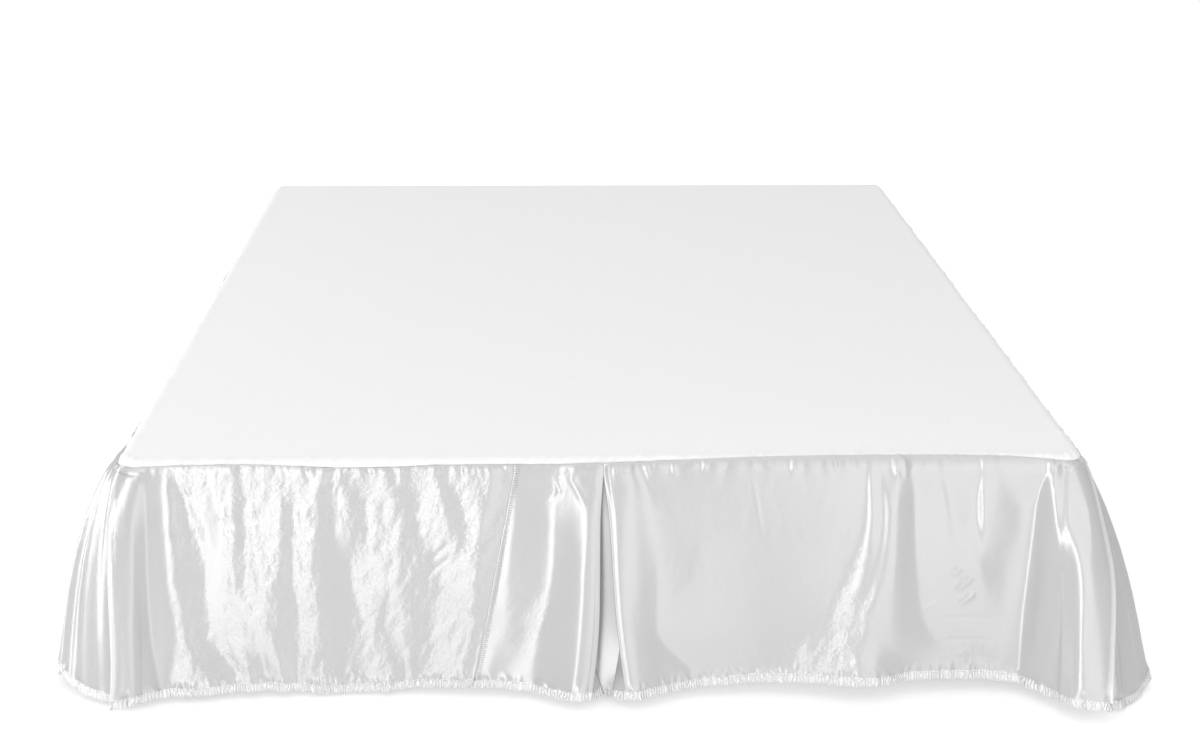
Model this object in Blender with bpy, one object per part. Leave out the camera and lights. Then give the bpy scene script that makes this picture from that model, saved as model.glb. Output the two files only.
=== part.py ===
"""A three-sided satin bed skirt on its bed base: plain deck cloth, four satin panels, base and legs.

Metres, +Z up, the floor at z = 0. The foot of the bed faces -Y. The satin is laid out on one seam
path round the deck: its coordinate is 0 at the middle of the front, grows to the right round the
right corner to the head, and falls to the left in the same way.
"""

import math

import bmesh
import bpy
from mathutils import Vector

DECK_WIDTH = 1.520
DECK_LENGTH = 2.030
DECK_HEIGHT = 0.395
EDGE_ROLL = 0.020
CORNER_RADIUS = 0.040
SKIRT_DROP = 0.381

DECK_CLOTH = 0.0015
SATIN = 0.0012
HEM_THICKNESS = 0.0024
HEM_DEPTH = 0.014
HEM_STEP = 0.006
SIDE_HEM = 0.009
SEAT_GAP = 0.0003
SEAM_GAP = 0.0006
CLOTH_GAP = 0.0020

JOIN_SEAM_AT = -0.140
LEFT_SPLIT_AT = -0.7514
RIGHT_SPLIT_AT = 0.7650
SPLIT_GAP = 0.0016
HEAD_INSET = 0.010

LEG_HEIGHT = 0.180
LEG_TOP_SIDE = 0.075
LEG_FOOT_SIDE = 0.060
LEG_INSET = 0.110
BASE_EDGE_ROLL = 0.020
LEG_ARRIS = 0.008
BASE_FOOT_CHAMFER = 0.008
HEAD_CORNER_RADIUS = 0.025
LEAST_RADIUS = 0.004
CORNER_SIDES = 6
ROLL_SIDES = 4

SEAM_PUFF = 0.004
MIDDLE_PUFF = 0.011
PUFF_REACH = 0.30
PUFF_POWER = 1.5
FOLD_START = 0.15
FOLD_REACH = 0.12
LEAST_OUT = 0.0006
PLEAT_LAYER = 0.0022
PLEAT_LIFT_REACH = 0.060
LEFT_CORNER_BELL = 0.68
RIGHT_CORNER_BELL = 0.84
MIDDLE_BELL = 1.0
BELL_REACH = 0.30

PLEAT_EDGE = 0.0005
PLEAT_CREASED = 0.05
GATHERED_CORNER = 0.12

FRONT_STEP = 0.0125
CREASE_STEP = 0.0065
SIDE_STEP = 0.050
HANG_ROWS = 6
ROLL_ROWS = 2
DECK_EVERY = 2

SATIN_WHITE = (0.80, 0.80, 0.80, 1.0)
DECK_WHITE = (0.86, 0.86, 0.86, 1.0)
BASE_GREY = (0.55, 0.54, 0.52, 1.0)
LEG_BROWN = (0.20, 0.12, 0.07, 1.0)

# How far over the edge roll the seam lies, in mm: small where the deck cloth is pulled back.
SEAM_LINE = [
    # at, over
    (-2.80, 13.0), (-2.30, 17.0), (-1.80, 12.0), (-1.30, 18.0), (-0.95, 15.0),
    (-0.75, 20.2), (-0.627, 15.7), (-0.565, 15.0), (-0.394, 21.3), (-0.316, 20.2),
    (-0.25, 17.5), (0.0, 17.5), (0.058, 14.0), (0.15, 9.8), (0.213, 6.3),
    (0.275, 4.2), (0.37, 2.2), (0.46, 2.0), (0.555, 3.0), (0.65, 8.0),
    (0.70, 14.0), (0.75, 19.0), (0.95, 14.0), (1.40, 17.0), (1.90, 11.0),
    (2.40, 16.0), (2.80, 13.0),
]

# Where the hem of each stretch of seam hangs, in mm: out from the deck's edge, along the seam
# path, and how much longer than the drop the cloth is.
LEFT_SIDE_HEM = [
    # at, out, along, longer
    (-2.77, 14, 0, 0), (-2.66, 24, 0, 0), (-2.52, 40, 0, 0), (-2.37, 18, 0, 0), (-2.22, 34, 0, 0),
    (-2.06, 16, 0, 0), (-1.90, 42, 0, 0), (-1.74, 22, 0, 0), (-1.60, 30, 0, 0), (-1.45, 15, 0, 0),
    (-1.32, 44, 0, 0), (-1.20, 26, 0, 0), (-1.06, 58, 0, 0), (-0.95, 105, 0, 3), (-0.88, 125, 12, 6),
    (-0.84, 125, 32, 8), (-0.80, 100, 37, 8), (-0.77, 58, 41, 6), (-0.7530, 46, 36, 4),
]
FRONT_HEM = [
    # at, out, along, longer
    (-0.7514, 80, 63, 10), (-0.735, 75, 21, 6), (-0.72, 58, 0, 2), (-0.69, 22, 0, 0),
    (-0.644, 7, 0, 0), (-0.58, 6, 0, 0), (-0.484, 14, 0, 0), (-0.40, 11, -20, 0),
    (-0.33, 3, -27, 0), (-0.25, 2, -43, 0), (-0.19, 3, -55, 0), (-0.14, 4, -67, 0),
    (-0.10, 12, -64, 0), (-0.06, 37, -44, 0), (-0.035, 47, -30, 0), (-0.018, 53, -24, 0),
    (-0.0005, 58, -21, 0), (0.0005, 61, 38, 0), (0.014, 60, 38, 0), (0.03, 56, 36, 0),
    (0.05, 47, 33, 0), (0.09, 32, 25, 0), (0.14, 17, 16, 0),
    (0.21, 6, 12, 0), (0.285, 16, 0, 0), (0.346, 36, 0, 0), (0.40, 45, 0, 0),
    (0.425, 44, 0, 0), (0.452, 30, 0, 0), (0.478, 20, 0, 0), (0.576, 12, 0, 0),
    (0.640, 18, 0, 0), (0.668, 35, 0, 0), (0.693, 65, 0, 2), (0.72, 88, 0, 4),
    (0.735, 98, -22, 6), (0.75, 101, -60, 12), (0.765, 90, -99, 20),
]
RIGHT_SIDE_HEM = [
    # at, out, along, longer
    (0.7666, 67, -82, 16), (0.783, 68, -124, 26), (0.80, 102, -106, 26), (0.83, 127, -76, 20),
    (0.87, 133, -50, 14), (0.92, 122, -20, 6), (1.00, 90, 0, 3), (1.10, 50, 0, 0), (1.24, 24, 0, 0),
    (1.36, 40, 0, 0), (1.50, 18, 0, 0), (1.66, 46, 0, 0), (1.82, 20, 0, 0), (1.94, 33, 0, 0),
    (2.10, 15, 0, 0), (2.26, 42, 0, 0), (2.42, 20, 0, 0), (2.56, 34, 0, 0), (2.68, 20, 0, 0),
    (2.77, 14, 0, 0),
]

# Folds from seam to hem: where each runs, how far it stands out (a trough is negative) and its
# half width, at the seam, half way down and at the hem. Places in m along the seam path, the rest
# in mm.
LEFT_SIDE_FOLDS = [
    # places, heights, half widths
    ((-0.800, -0.805, -0.810), (-4, -9, -2), (12, 14, 16)),
    ((-0.830, -0.835, -0.840), (4, 8, 3), (14, 16, 18)),
    ((-0.880, -0.880, -0.890), (-3, -8, -4), (16, 20, 22)),
    ((-0.990, -0.985, -0.980), (4, 7, 3), (22, 26, 30)),
    ((-1.120, -1.110, -1.120), (-3, -7, -4), (22, 26, 26)),
    ((-1.290, -1.300, -1.310), (5, 9, 5), (26, 30, 34)),
    ((-1.520, -1.500, -1.490), (-2, -6, -3), (24, 28, 28)),
    ((-1.700, -1.710, -1.720), (4, 7, 3), (26, 30, 30)),
    ((-1.930, -1.920, -1.900), (5, 9, 6), (24, 28, 34)),
    ((-2.110, -2.120, -2.130), (-3, -6, -3), (24, 28, 30)),
    ((-2.290, -2.280, -2.260), (4, 8, 4), (26, 30, 30)),
    ((-2.520, -2.530, -2.540), (5, 9, 5), (26, 32, 34)),
    ((-2.680, -2.680, -2.680), (-2, -5, -2), (20, 24, 26)),
]
FRONT_FOLDS = [
    # places, heights, half widths
    ((-0.680, -0.676, -0.664), (5, 9, 4), (11, 14, 18)),
    ((-0.660, -0.650, -0.605), (-4, -8, -4), (12, 17, 26)),
    ((-0.600, -0.605, -0.615), (0, 12, 8), (30, 46, 46)),
    ((-0.563, -0.570, -0.560), (-4, -7, -2), (9, 12, 16)),
    ((-0.545, -0.540, -0.535), (4, 7, 4), (9, 14, 16)),
    ((-0.497, -0.500, -0.545), (-2, -8, -5), (10, 13, 16)),
    ((-0.468, -0.470, -0.474), (4, 8, 6), (9, 12, 14)),
    ((-0.425, -0.418, -0.390), (-1, -6, -5), (18, 28, 32)),
    ((-0.360, -0.352, -0.315), (3, 10, 6), (14, 24, 28)),
    ((-0.268, -0.238, -0.250), (-3, -7, -4), (10, 16, 18)),
    ((-0.300, -0.290, -0.195), (2, 5, 8), (14, 18, 26)),
    ((-0.160, -0.160, -0.140), (-5, -8, -3), (9, 12, 12)),
    ((-0.118, -0.112, -0.105), (1, 7, 6), (9, 13, 18)),
    ((-0.072, -0.062, -0.075), (3, 9, 6), (8, 12, 18)),
    ((-0.045, -0.036, -0.034), (-2, -5, -2), (9, 10, 9)),
    ((-0.010, -0.016, -0.018), (3, 5, 2), (6, 7, 8)),
    ((0.008, 0.012, 0.014), (3, 5, 2), (6, 7, 8)),
    ((0.048, 0.056, 0.085), (-3, -8, -5), (9, 16, 20)),
    ((0.100, 0.100, 0.140), (1, 6, 5), (18, 30, 34)),
    ((0.240, 0.250, 0.260), (2, 3, 0), (8, 12, 14)),
    ((0.416, 0.410, 0.372), (5, 9, 6), (8, 11, 18)),
    ((0.431, 0.447, 0.395), (4, 8, 2), (8, 11, 16)),
    ((0.482, 0.480, 0.470), (-4, -7, -3), (9, 17, 24)),
    ((0.518, 0.545, 0.570), (4, 5, 2), (8, 12, 16)),
    ((0.592, 0.590, 0.590), (7, 1, 0), (9, 12, 14)),
    ((0.625, 0.625, 0.630), (-3, -4, -1), (12, 18, 20)),
    ((0.687, 0.679, 0.660), (7, 10, 6), (8, 9, 11)),
    ((0.706, 0.703, 0.700), (-4, -4, 0), (8, 12, 14)),
    ((0.733, 0.735, 0.735), (6, 8, 3), (8, 9, 10)),
]
RIGHT_SIDE_FOLDS = [
    # places, heights, half widths
    ((0.810, 0.812, 0.815), (-4, -9, -3), (12, 14, 16)),
    ((0.850, 0.850, 0.855), (4, 8, 4), (14, 16, 18)),
    ((0.900, 0.905, 0.910), (-3, -7, -3), (16, 20, 22)),
    ((1.020, 1.010, 1.000), (4, 8, 3), (24, 26, 30)),
    ((1.170, 1.180, 1.190), (-3, -7, -4), (24, 26, 28)),
    ((1.370, 1.360, 1.350), (4, 9, 5), (26, 30, 32)),
    ((1.560, 1.550, 1.540), (-2, -6, -3), (24, 28, 28)),
    ((1.640, 1.650, 1.670), (5, 8, 5), (22, 28, 30)),
    ((1.930, 1.940, 1.950), (5, 8, 4), (26, 28, 30)),
    ((2.110, 2.100, 2.090), (-3, -6, -3), (24, 26, 28)),
    ((2.240, 2.250, 2.260), (5, 9, 5), (24, 30, 32)),
    ((2.460, 2.470, 2.480), (-3, -5, -3), (24, 28, 28)),
    ((2.590, 2.580, 2.570), (4, 8, 4), (24, 28, 30)),
]

# The inverted box pleat in the middle of the front, in mm from its middle: the two edges that
# show, the two folds behind them and how far its back stands out, down the drop.
PLEAT_SHAPE = [
    # down, left edge, left inner fold, right inner fold, right edge, back
    (0.0, -1.0, -27.5, 27.5, 1.0, 0.0),
    (0.2, -6.0, -30.0, 31.0, 10.0, 1.0),
    (0.6, -7.5, -31.0, 34.0, 20.0, 6.0),
    (0.8, -12.0, -20.0, 25.0, 28.0, 14.0),
    (1.0, -21.0, 0.0, 13.0, 38.0, 24.0),
]
PLEAT_RUNS = [
    # columns in each run of the pleat, from its left edge to its right edge
    ("left turn", 2), ("left return", 4), ("left inner turn", 2), ("back", 6),
    ("right inner turn", 2), ("right return", 4), ("right turn", 2),
]

LEGS = [
    # name, side (-1 left, 1 right), place along the length
    ("leg_foot_left", -1, -1.0), ("leg_foot_right", 1, -1.0),
    ("leg_middle_left", -1, 0.0), ("leg_middle_right", 1, 0.0),
    ("leg_head_left", -1, 1.0), ("leg_head_right", 1, 1.0),
]


def smooth_read(rows, at, column):
    """A column of a table between its rows, on a curve that never swings past them."""
    if at <= rows[0][0]:
        return rows[0][column]
    if at >= rows[-1][0]:
        return rows[-1][column]
    i = next(k for k in range(1, len(rows)) if at <= rows[k][0])
    low, high = rows[i - 1], rows[i]
    step = high[0] - low[0]
    slope = (high[column] - low[column]) / step

    def slope_at(before, after):
        if before * after <= 0:
            return 0.0
        return 2 * before * after / (before + after)

    before = slope if i < 2 else (low[column] - rows[i - 2][column]) / (low[0] - rows[i - 2][0])
    after = slope
    if i + 1 < len(rows):
        after = (rows[i + 1][column] - high[column]) / (rows[i + 1][0] - high[0])
    start, end = slope_at(before, slope) * step, slope_at(slope, after) * step
    f = (at - low[0]) / step
    return (
        low[column] * (1 + 2 * f) * (1 - f) ** 2
        + start * f * (1 - f) ** 2
        + high[column] * f * f * (3 - 2 * f)
        - end * f * f * (1 - f)
    )


def ease(f):
    f = min(max(f, 0.0), 1.0)
    return f * f * (3 - 2 * f)


def down_the_drop(three, t):
    """A value given at the seam, half way down and at the hem, read at t."""
    top, middle, hem = three
    if t < 0.5:
        return top + (middle - top) * math.sin(math.pi * t)
    return middle + (hem - middle) * (1 - math.cos(math.pi * (t - 0.5)))


CORNER_START = DECK_WIDTH / 2 - CORNER_RADIUS
CORNER_END = CORNER_START + CORNER_RADIUS * math.pi / 2
HEAD_END = CORNER_END + DECK_LENGTH - CORNER_RADIUS - HEAD_INSET


def seam_path(at):
    """The deck's edge at a place on the seam path: the point, the way out and the way along."""
    side = -1 if at < 0 else 1
    reach = abs(at)
    front = -DECK_LENGTH / 2
    if reach <= CORNER_START:
        return Vector((at, front)), Vector((0, -1)), Vector((1, 0))
    if reach < CORNER_END:
        turn = (reach - CORNER_START) / CORNER_RADIUS
        out = Vector((side * math.sin(turn), -math.cos(turn)))
        middle = Vector((side * CORNER_START, front + CORNER_RADIUS))
        return middle + out * CORNER_RADIUS, out, Vector((-out.y, out.x))
    y = front + CORNER_RADIUS + reach - CORNER_END
    return Vector((side * DECK_WIDTH / 2, y)), Vector((side, 0)), Vector((0, side))


def place(at, out, along, height):
    point, outward, tangent = seam_path(at)
    flat = point + outward * out + tangent * along
    return Vector((flat.x, flat.y, height))


def seam_over(at):
    return smooth_read(SEAM_LINE, at, 1) / 1000


def pleat_lift(at, t):
    """The outer layers lie over the pleat's hidden ones near the middle of the front."""
    near = 1 - ease(abs(at) / PLEAT_LIFT_REACH)
    return 2 * PLEAT_LAYER * near * (1 - 0.5 * t)


def cloth_out(hem, folds, at, t):
    """How far out the satin hangs at this place on the seam path, t of the way down."""
    near_corner = abs(abs(at) - CORNER_END) / BELL_REACH
    corner_bell = LEFT_CORNER_BELL if at < 0 else RIGHT_CORNER_BELL
    bell = corner_bell + (MIDDLE_BELL - corner_bell) * ease(near_corner)
    out = smooth_read(hem, at, 1) / 1000 * t**bell
    out += SEAM_PUFF * math.sin(math.pi * min(t / PUFF_REACH, 1.0) / 2) * (1 - t)
    out += (MIDDLE_PUFF - SEAM_PUFF) * math.sin(math.pi * t) ** PUFF_POWER
    for places, heights, widths in folds:
        off = (at - down_the_drop(places, t)) / (down_the_drop(widths, t) / 1000)
        if abs(off) < 3:
            rise = down_the_drop(heights, t) / 1000 * math.exp(-off * off)
            out += rise * ease(t / FOLD_REACH + FOLD_START)
    return max(out, 0.0) + LEAST_OUT + pleat_lift(at, t)


def cloth_along(hem, at, t):
    along = smooth_read(hem, at, 2) / 1000 * t
    if abs(at) < PLEAT_LIFT_REACH:
        edge = smooth_read(PLEAT_SHAPE, t, 1 if at < 0 else 4) / 1000
        beside = smooth_read(hem, math.copysign(PLEAT_EDGE, at), 2) / 1000 * t
        along += (edge - beside) * (1 - ease(abs(at) / PLEAT_LIFT_REACH))
    return along


def drops():
    """Rows down the satin as fractions of its hanging length, the last two being its hem."""
    hem_top = 1 - HEM_DEPTH / SKIRT_DROP
    rows = [k / HANG_ROWS * (hem_top - HEM_STEP) for k in range(1, HANG_ROWS + 1)]
    return rows + [hem_top, 1.0]


def column_points(at, out_of, along_of, longer):
    """One line of the satin from its seam over the edge roll and down to its hem."""
    seam = seam_over(at)
    quarter = EDGE_ROLL * math.pi / 2
    points = []
    for k in range(ROLL_ROWS + 1):
        over = seam + (quarter - seam) * k / ROLL_ROWS
        if k == 0:
            over += SEAM_GAP
        turn = over / EDGE_ROLL
        lift = out_of(0.0) - SATIN / 2
        out = EDGE_ROLL * (math.sin(turn) - 1) + lift * math.sin(turn)
        height = DECK_HEIGHT - EDGE_ROLL * (1 - math.cos(turn)) + lift * math.cos(turn)
        points.append(place(at, out, along_of(0.0), height))
    hanging = SKIRT_DROP + longer - (quarter - seam)
    height = points[-1].z
    before = (0.0, out_of(0.0), along_of(0.0))
    for t in drops():
        now = (t, out_of(t), along_of(t))
        cloth = (now[0] - before[0]) * hanging
        sideways = (now[1] - before[1]) ** 2 + (now[2] - before[2]) ** 2
        height -= math.sqrt(max(cloth * cloth - sideways, 0.0))
        points.append(place(at, now[1] - SATIN / 2, now[2], height))
        before = now
    return points


def stretch_places(start, end, step):
    count = max(2, round(abs(end - start) / step))
    return [start + (end - start) * k / count for k in range(count + 1)]


def plain_columns(hem, folds, places):
    """Columns of satin along a plain stretch of seam."""
    columns = []
    for at in places:
        columns.append(
            column_points(
                at,
                lambda t, at=at: cloth_out(hem, folds, at, t),
                lambda t, at=at: cloth_along(hem, at, t),
                smooth_read(hem, at, 3) / 1000,
            )
        )
    return columns


def pleat_corners(t):
    """The pleat's turning points at t, as (across, out), from its left edge to its right edge."""
    read = [smooth_read(PLEAT_SHAPE, t, column) / 1000 for column in range(1, 6)]
    left, left_inner, right_inner, right, back = read
    left_rim = cloth_out(FRONT_HEM, FRONT_FOLDS, -PLEAT_EDGE, t)
    right_rim = cloth_out(FRONT_HEM, FRONT_FOLDS, PLEAT_EDGE, t)
    back += LEAST_OUT
    layer = PLEAT_LAYER
    return [
        (left, left_rim), (left, left_rim - layer), (left_inner, back + layer), (left_inner, back),
        (right_inner, back), (right_inner, back + layer), (right, right_rim - layer), (right, right_rim),
    ]


def pleat_section(t):
    """Every column of the pleat at t, as (across, out), with its turns rounded."""
    corners = pleat_corners(t)
    line = []
    for (start, end), (_, count) in zip(zip(corners, corners[1:]), PLEAT_RUNS):
        line += [
            tuple(a + (b - a) * k / count for a, b in zip(start, end)) for k in range(count)
        ]
    line.append(corners[-1])
    rounded = list(line)
    for i in range(1, len(line) - 1):
        rounded[i] = tuple(
            (before + 2 * here + after) / 4
            for before, here, after in zip(line[i - 1], line[i], line[i + 1])
        )
    return rounded[1:-1]


def pleat_columns():
    count = sum(columns for _, columns in PLEAT_RUNS) - 1
    return [
        column_points(
            0.0,
            lambda t, i=i: pleat_section(t)[i][1],
            lambda t, i=i: pleat_section(t)[i][0],
            0.0,
        )
        for i in range(count)
    ]


def material(name, colour, roughness, metallic=0.0):
    made = bpy.data.materials.new(name)
    made.use_nodes = True
    shader = made.node_tree.nodes["Principled BSDF"]
    shader.inputs["Base Color"].default_value = colour
    shader.inputs["Roughness"].default_value = roughness
    shader.inputs["Metallic"].default_value = metallic
    made.diffuse_color = colour
    return made


def add_object(name, mesh, finish):
    made = bpy.data.objects.new(name, mesh)
    made.data.materials.append(finish)
    bpy.context.scene.collection.objects.link(made)
    return made


def sheet_object(name, columns, finish, hemmed_ends):
    """A satin panel: the grid of its middle surface, given its thickness, with thicker hems."""
    bm = bmesh.new()
    grid = [[bm.verts.new(point) for point in column] for column in columns]
    for left, right in zip(grid, grid[1:]):
        for k in range(len(left) - 1):
            bm.faces.new((left[k], left[k + 1], right[k + 1], right[k]))
    mesh = bpy.data.meshes.new(name)
    bm.to_mesh(mesh)
    bm.free()
    mesh.shade_smooth()
    made = add_object(name, mesh, finish)

    rows = len(columns[0])
    hem = made.vertex_groups.new(name="hem")
    plain_share = SATIN / HEM_THICKNESS
    for c in range(len(columns)):
        from_end = min(
            distance
            for distance, hemmed in (
                ((columns[c][1] - columns[0][1]).length, hemmed_ends[0]),
                ((columns[c][1] - columns[-1][1]).length, hemmed_ends[1]),
                (math.inf, True),
            )
            if hemmed
        )
        for r in range(rows):
            thick = r >= rows - 2 or from_end < SIDE_HEM
            hem.add([c * rows + r], 1.0 if thick else plain_share, "REPLACE")
    thicken = made.modifiers.new("thickness", "SOLIDIFY")
    thicken.thickness = HEM_THICKNESS
    thicken.offset = 0.0
    thicken.use_even_offset = False
    thicken.vertex_group = hem.name
    thicken.thickness_vertex_group = 0.0
    return made


def seam_places():
    """Where each satin panel has its columns along the seam path, left to right."""
    gathered = CORNER_END + GATHERED_CORNER
    return {
        "left side": stretch_places(-HEAD_END, -gathered, SIDE_STEP)[:-1]
        + stretch_places(-gathered, LEFT_SPLIT_AT - SPLIT_GAP, FRONT_STEP),
        "front left": stretch_places(LEFT_SPLIT_AT, JOIN_SEAM_AT - SEAT_GAP, FRONT_STEP),
        "before pleat": stretch_places(JOIN_SEAM_AT + SEAT_GAP, -PLEAT_CREASED, FRONT_STEP)[:-1]
        + stretch_places(-PLEAT_CREASED, -PLEAT_EDGE, CREASE_STEP),
        "after pleat": stretch_places(PLEAT_EDGE, PLEAT_CREASED, CREASE_STEP)[:-1]
        + stretch_places(PLEAT_CREASED, RIGHT_SPLIT_AT, FRONT_STEP),
        "right side": stretch_places(RIGHT_SPLIT_AT + SPLIT_GAP, gathered, FRONT_STEP)[:-1]
        + stretch_places(gathered, HEAD_END, SIDE_STEP),
    }


def deck(finish):
    """The deck cloth: flat on the base, rolling over three edges to the seam."""
    bm = bmesh.new()
    columns = []
    head = HEAD_END + HEAD_INSET
    for at in [-head] + sum(seam_places().values(), [])[::DECK_EVERY] + [head]:
        over = seam_over(at)
        column = []
        for k in range(ROLL_ROWS + 1):
            turn = over * k / ROLL_ROWS / EDGE_ROLL
            out = EDGE_ROLL * (math.sin(turn) - 1)
            height = DECK_HEIGHT - EDGE_ROLL * (1 - math.cos(turn))
            column.append(bm.verts.new(place(at, out, 0.0, height)))
        columns.append(column)
    for left, right in zip(columns, columns[1:]):
        for k in range(ROLL_ROWS):
            bm.faces.new((left[k], left[k + 1], right[k + 1], right[k]))
    bm.faces.new([column[0] for column in columns])
    mesh = bpy.data.meshes.new("deck")
    bm.to_mesh(mesh)
    bm.free()
    made = add_object("deck", mesh, finish)
    thicken = made.modifiers.new("thickness", "SOLIDIFY")
    thicken.thickness = DECK_CLOTH
    thicken.offset = -1.0
    thicken.use_even_offset = True
    return made


def rounded_outline(inset, height):
    """The base's outline in plan, drawn in by inset: round front corners, small round head ones."""
    points = []
    half, front, head = DECK_WIDTH / 2 - inset, -DECK_LENGTH / 2 + inset, DECK_LENGTH / 2 - inset
    corners = [
        (half, front, CORNER_RADIUS, -90), (half, head, HEAD_CORNER_RADIUS, 0),
        (-half, head, HEAD_CORNER_RADIUS, 90), (-half, front, CORNER_RADIUS, 180),
    ]
    for x, y, full_radius, start in corners:
        radius = max(full_radius - inset, LEAST_RADIUS)
        centre = Vector((x - math.copysign(radius, x), y - math.copysign(radius, y)))
        for k in range(CORNER_SIDES + 1):
            turn = math.radians(start + 90 * k / CORNER_SIDES)
            x_now = centre.x + radius * math.cos(turn)
            y_now = centre.y + radius * math.sin(turn)
            points.append(Vector((x_now, y_now, height)))
    return points


def base(finish):
    """The plain upholstered bed base under the deck cloth, with a rolled top edge."""
    clear = DECK_CLOTH + CLOTH_GAP
    top = DECK_HEIGHT - DECK_CLOTH - SEAT_GAP
    rings = [
        (clear + BASE_FOOT_CHAMFER, LEG_HEIGHT),
        (clear, LEG_HEIGHT + BASE_FOOT_CHAMFER),
    ]
    for k in range(ROLL_SIDES + 1):
        turn = math.pi / 2 * k / ROLL_SIDES
        rings.append((
            clear + BASE_EDGE_ROLL * (1 - math.cos(turn)),
            top - BASE_EDGE_ROLL * (1 - math.sin(turn)),
        ))
    bm = bmesh.new()
    loops = [[bm.verts.new(point) for point in rounded_outline(*ring)] for ring in rings]
    for low, high in zip(loops, loops[1:]):
        for k in range(len(low)):
            n = (k + 1) % len(low)
            bm.faces.new((low[k], low[n], high[n], high[k]))
    bm.faces.new(list(reversed(loops[0])))
    bm.faces.new(loops[-1])
    mesh = bpy.data.meshes.new("bed_base")
    bm.to_mesh(mesh)
    bm.free()
    return add_object("bed_base", mesh, finish)


def leg(name, side, along, finish):
    """One plain block leg, narrower at its foot, standing on the floor under the base."""
    bm = bmesh.new()
    bmesh.ops.create_cube(bm, size=1.0)
    height = LEG_HEIGHT - SEAT_GAP
    for vert in bm.verts:
        width = LEG_TOP_SIDE if vert.co.z > 0 else LEG_FOOT_SIDE
        vert.co = Vector((vert.co.x * width, vert.co.y * width, (vert.co.z + 0.5) * height))
    upright = [edge for edge in bm.edges if abs(edge.verts[0].co.z - edge.verts[1].co.z) > height / 2]
    bmesh.ops.bevel(bm, geom=upright, offset=LEG_ARRIS, segments=3, affect="EDGES", profile=0.5)
    mesh = bpy.data.meshes.new(name)
    bm.to_mesh(mesh)
    bm.free()
    made = add_object(name, mesh, finish)
    made.location.x = side * (DECK_WIDTH / 2 - LEG_INSET)
    made.location.y = along * (DECK_LENGTH / 2 - LEG_INSET)
    return made


def satin_panels(finish):
    places = seam_places()
    left_side = plain_columns(LEFT_SIDE_HEM, LEFT_SIDE_FOLDS, places["left side"])
    front_left = plain_columns(FRONT_HEM, FRONT_FOLDS, places["front left"])
    front_right = (
        plain_columns(FRONT_HEM, FRONT_FOLDS, places["before pleat"])
        + pleat_columns()
        + plain_columns(FRONT_HEM, FRONT_FOLDS, places["after pleat"])
    )
    right_side = plain_columns(RIGHT_SIDE_HEM, RIGHT_SIDE_FOLDS, places["right side"])
    return [
        sheet_object("side_skirt_left", left_side, finish, (True, True)),
        sheet_object("front_skirt_left", front_left, finish, (True, False)),
        sheet_object("front_skirt_right", front_right, finish, (False, True)),
        sheet_object("side_skirt_right", right_side, finish, (True, True)),
    ]


def centre_on_floor(objects):
    """Moves the whole part so that the middle of its box stands over the origin."""
    bpy.context.view_layer.update()
    graph = bpy.context.evaluated_depsgraph_get()
    corners = []
    for made in objects:
        shown = made.evaluated_get(graph)
        mesh = shown.to_mesh()
        corners += [shown.matrix_world @ vert.co for vert in mesh.vertices]
        shown.to_mesh_clear()
    for axis in (0, 1):
        middle = (min(c[axis] for c in corners) + max(c[axis] for c in corners)) / 2
        for made in objects:
            made.location[axis] -= middle


def main():
    for old in list(bpy.data.objects):
        bpy.data.objects.remove(old, do_unlink=True)
    satin = material("white satin", SATIN_WHITE, 0.32)
    woven = material("white deck cloth", DECK_WHITE, 0.90)
    upholstery = material("base cloth", BASE_GREY, 0.90)
    wood = material("leg wood", LEG_BROWN, 0.50)
    made = satin_panels(satin) + [deck(woven), base(upholstery)]
    made += [leg(name, side, along, wood) for name, side, along in LEGS]
    centre_on_floor(made)


main()
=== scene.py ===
import math

import bpy
import numpy as np
from mathutils import Matrix, Vector
from mathutils.geometry import delaunay_2d_cdt


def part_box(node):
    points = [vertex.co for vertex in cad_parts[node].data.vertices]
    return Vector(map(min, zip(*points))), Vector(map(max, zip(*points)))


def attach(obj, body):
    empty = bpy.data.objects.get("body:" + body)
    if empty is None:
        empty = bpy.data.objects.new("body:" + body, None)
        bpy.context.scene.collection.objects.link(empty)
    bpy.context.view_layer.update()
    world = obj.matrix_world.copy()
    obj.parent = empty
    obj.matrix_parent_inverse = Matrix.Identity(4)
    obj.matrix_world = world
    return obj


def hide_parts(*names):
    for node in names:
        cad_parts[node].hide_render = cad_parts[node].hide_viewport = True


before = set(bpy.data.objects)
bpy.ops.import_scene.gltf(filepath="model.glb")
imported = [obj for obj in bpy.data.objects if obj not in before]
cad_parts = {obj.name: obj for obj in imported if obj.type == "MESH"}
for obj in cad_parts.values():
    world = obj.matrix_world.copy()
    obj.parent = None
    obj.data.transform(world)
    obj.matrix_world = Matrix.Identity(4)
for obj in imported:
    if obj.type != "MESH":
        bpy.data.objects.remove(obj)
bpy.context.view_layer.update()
baseLow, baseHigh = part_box("bed_base")
bedMiddle = (baseLow + baseHigh) / 2  # the seam path is laid out round this point
print("frame loaded, bed middle at", [round(v, 4) for v in bedMiddle])

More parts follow.
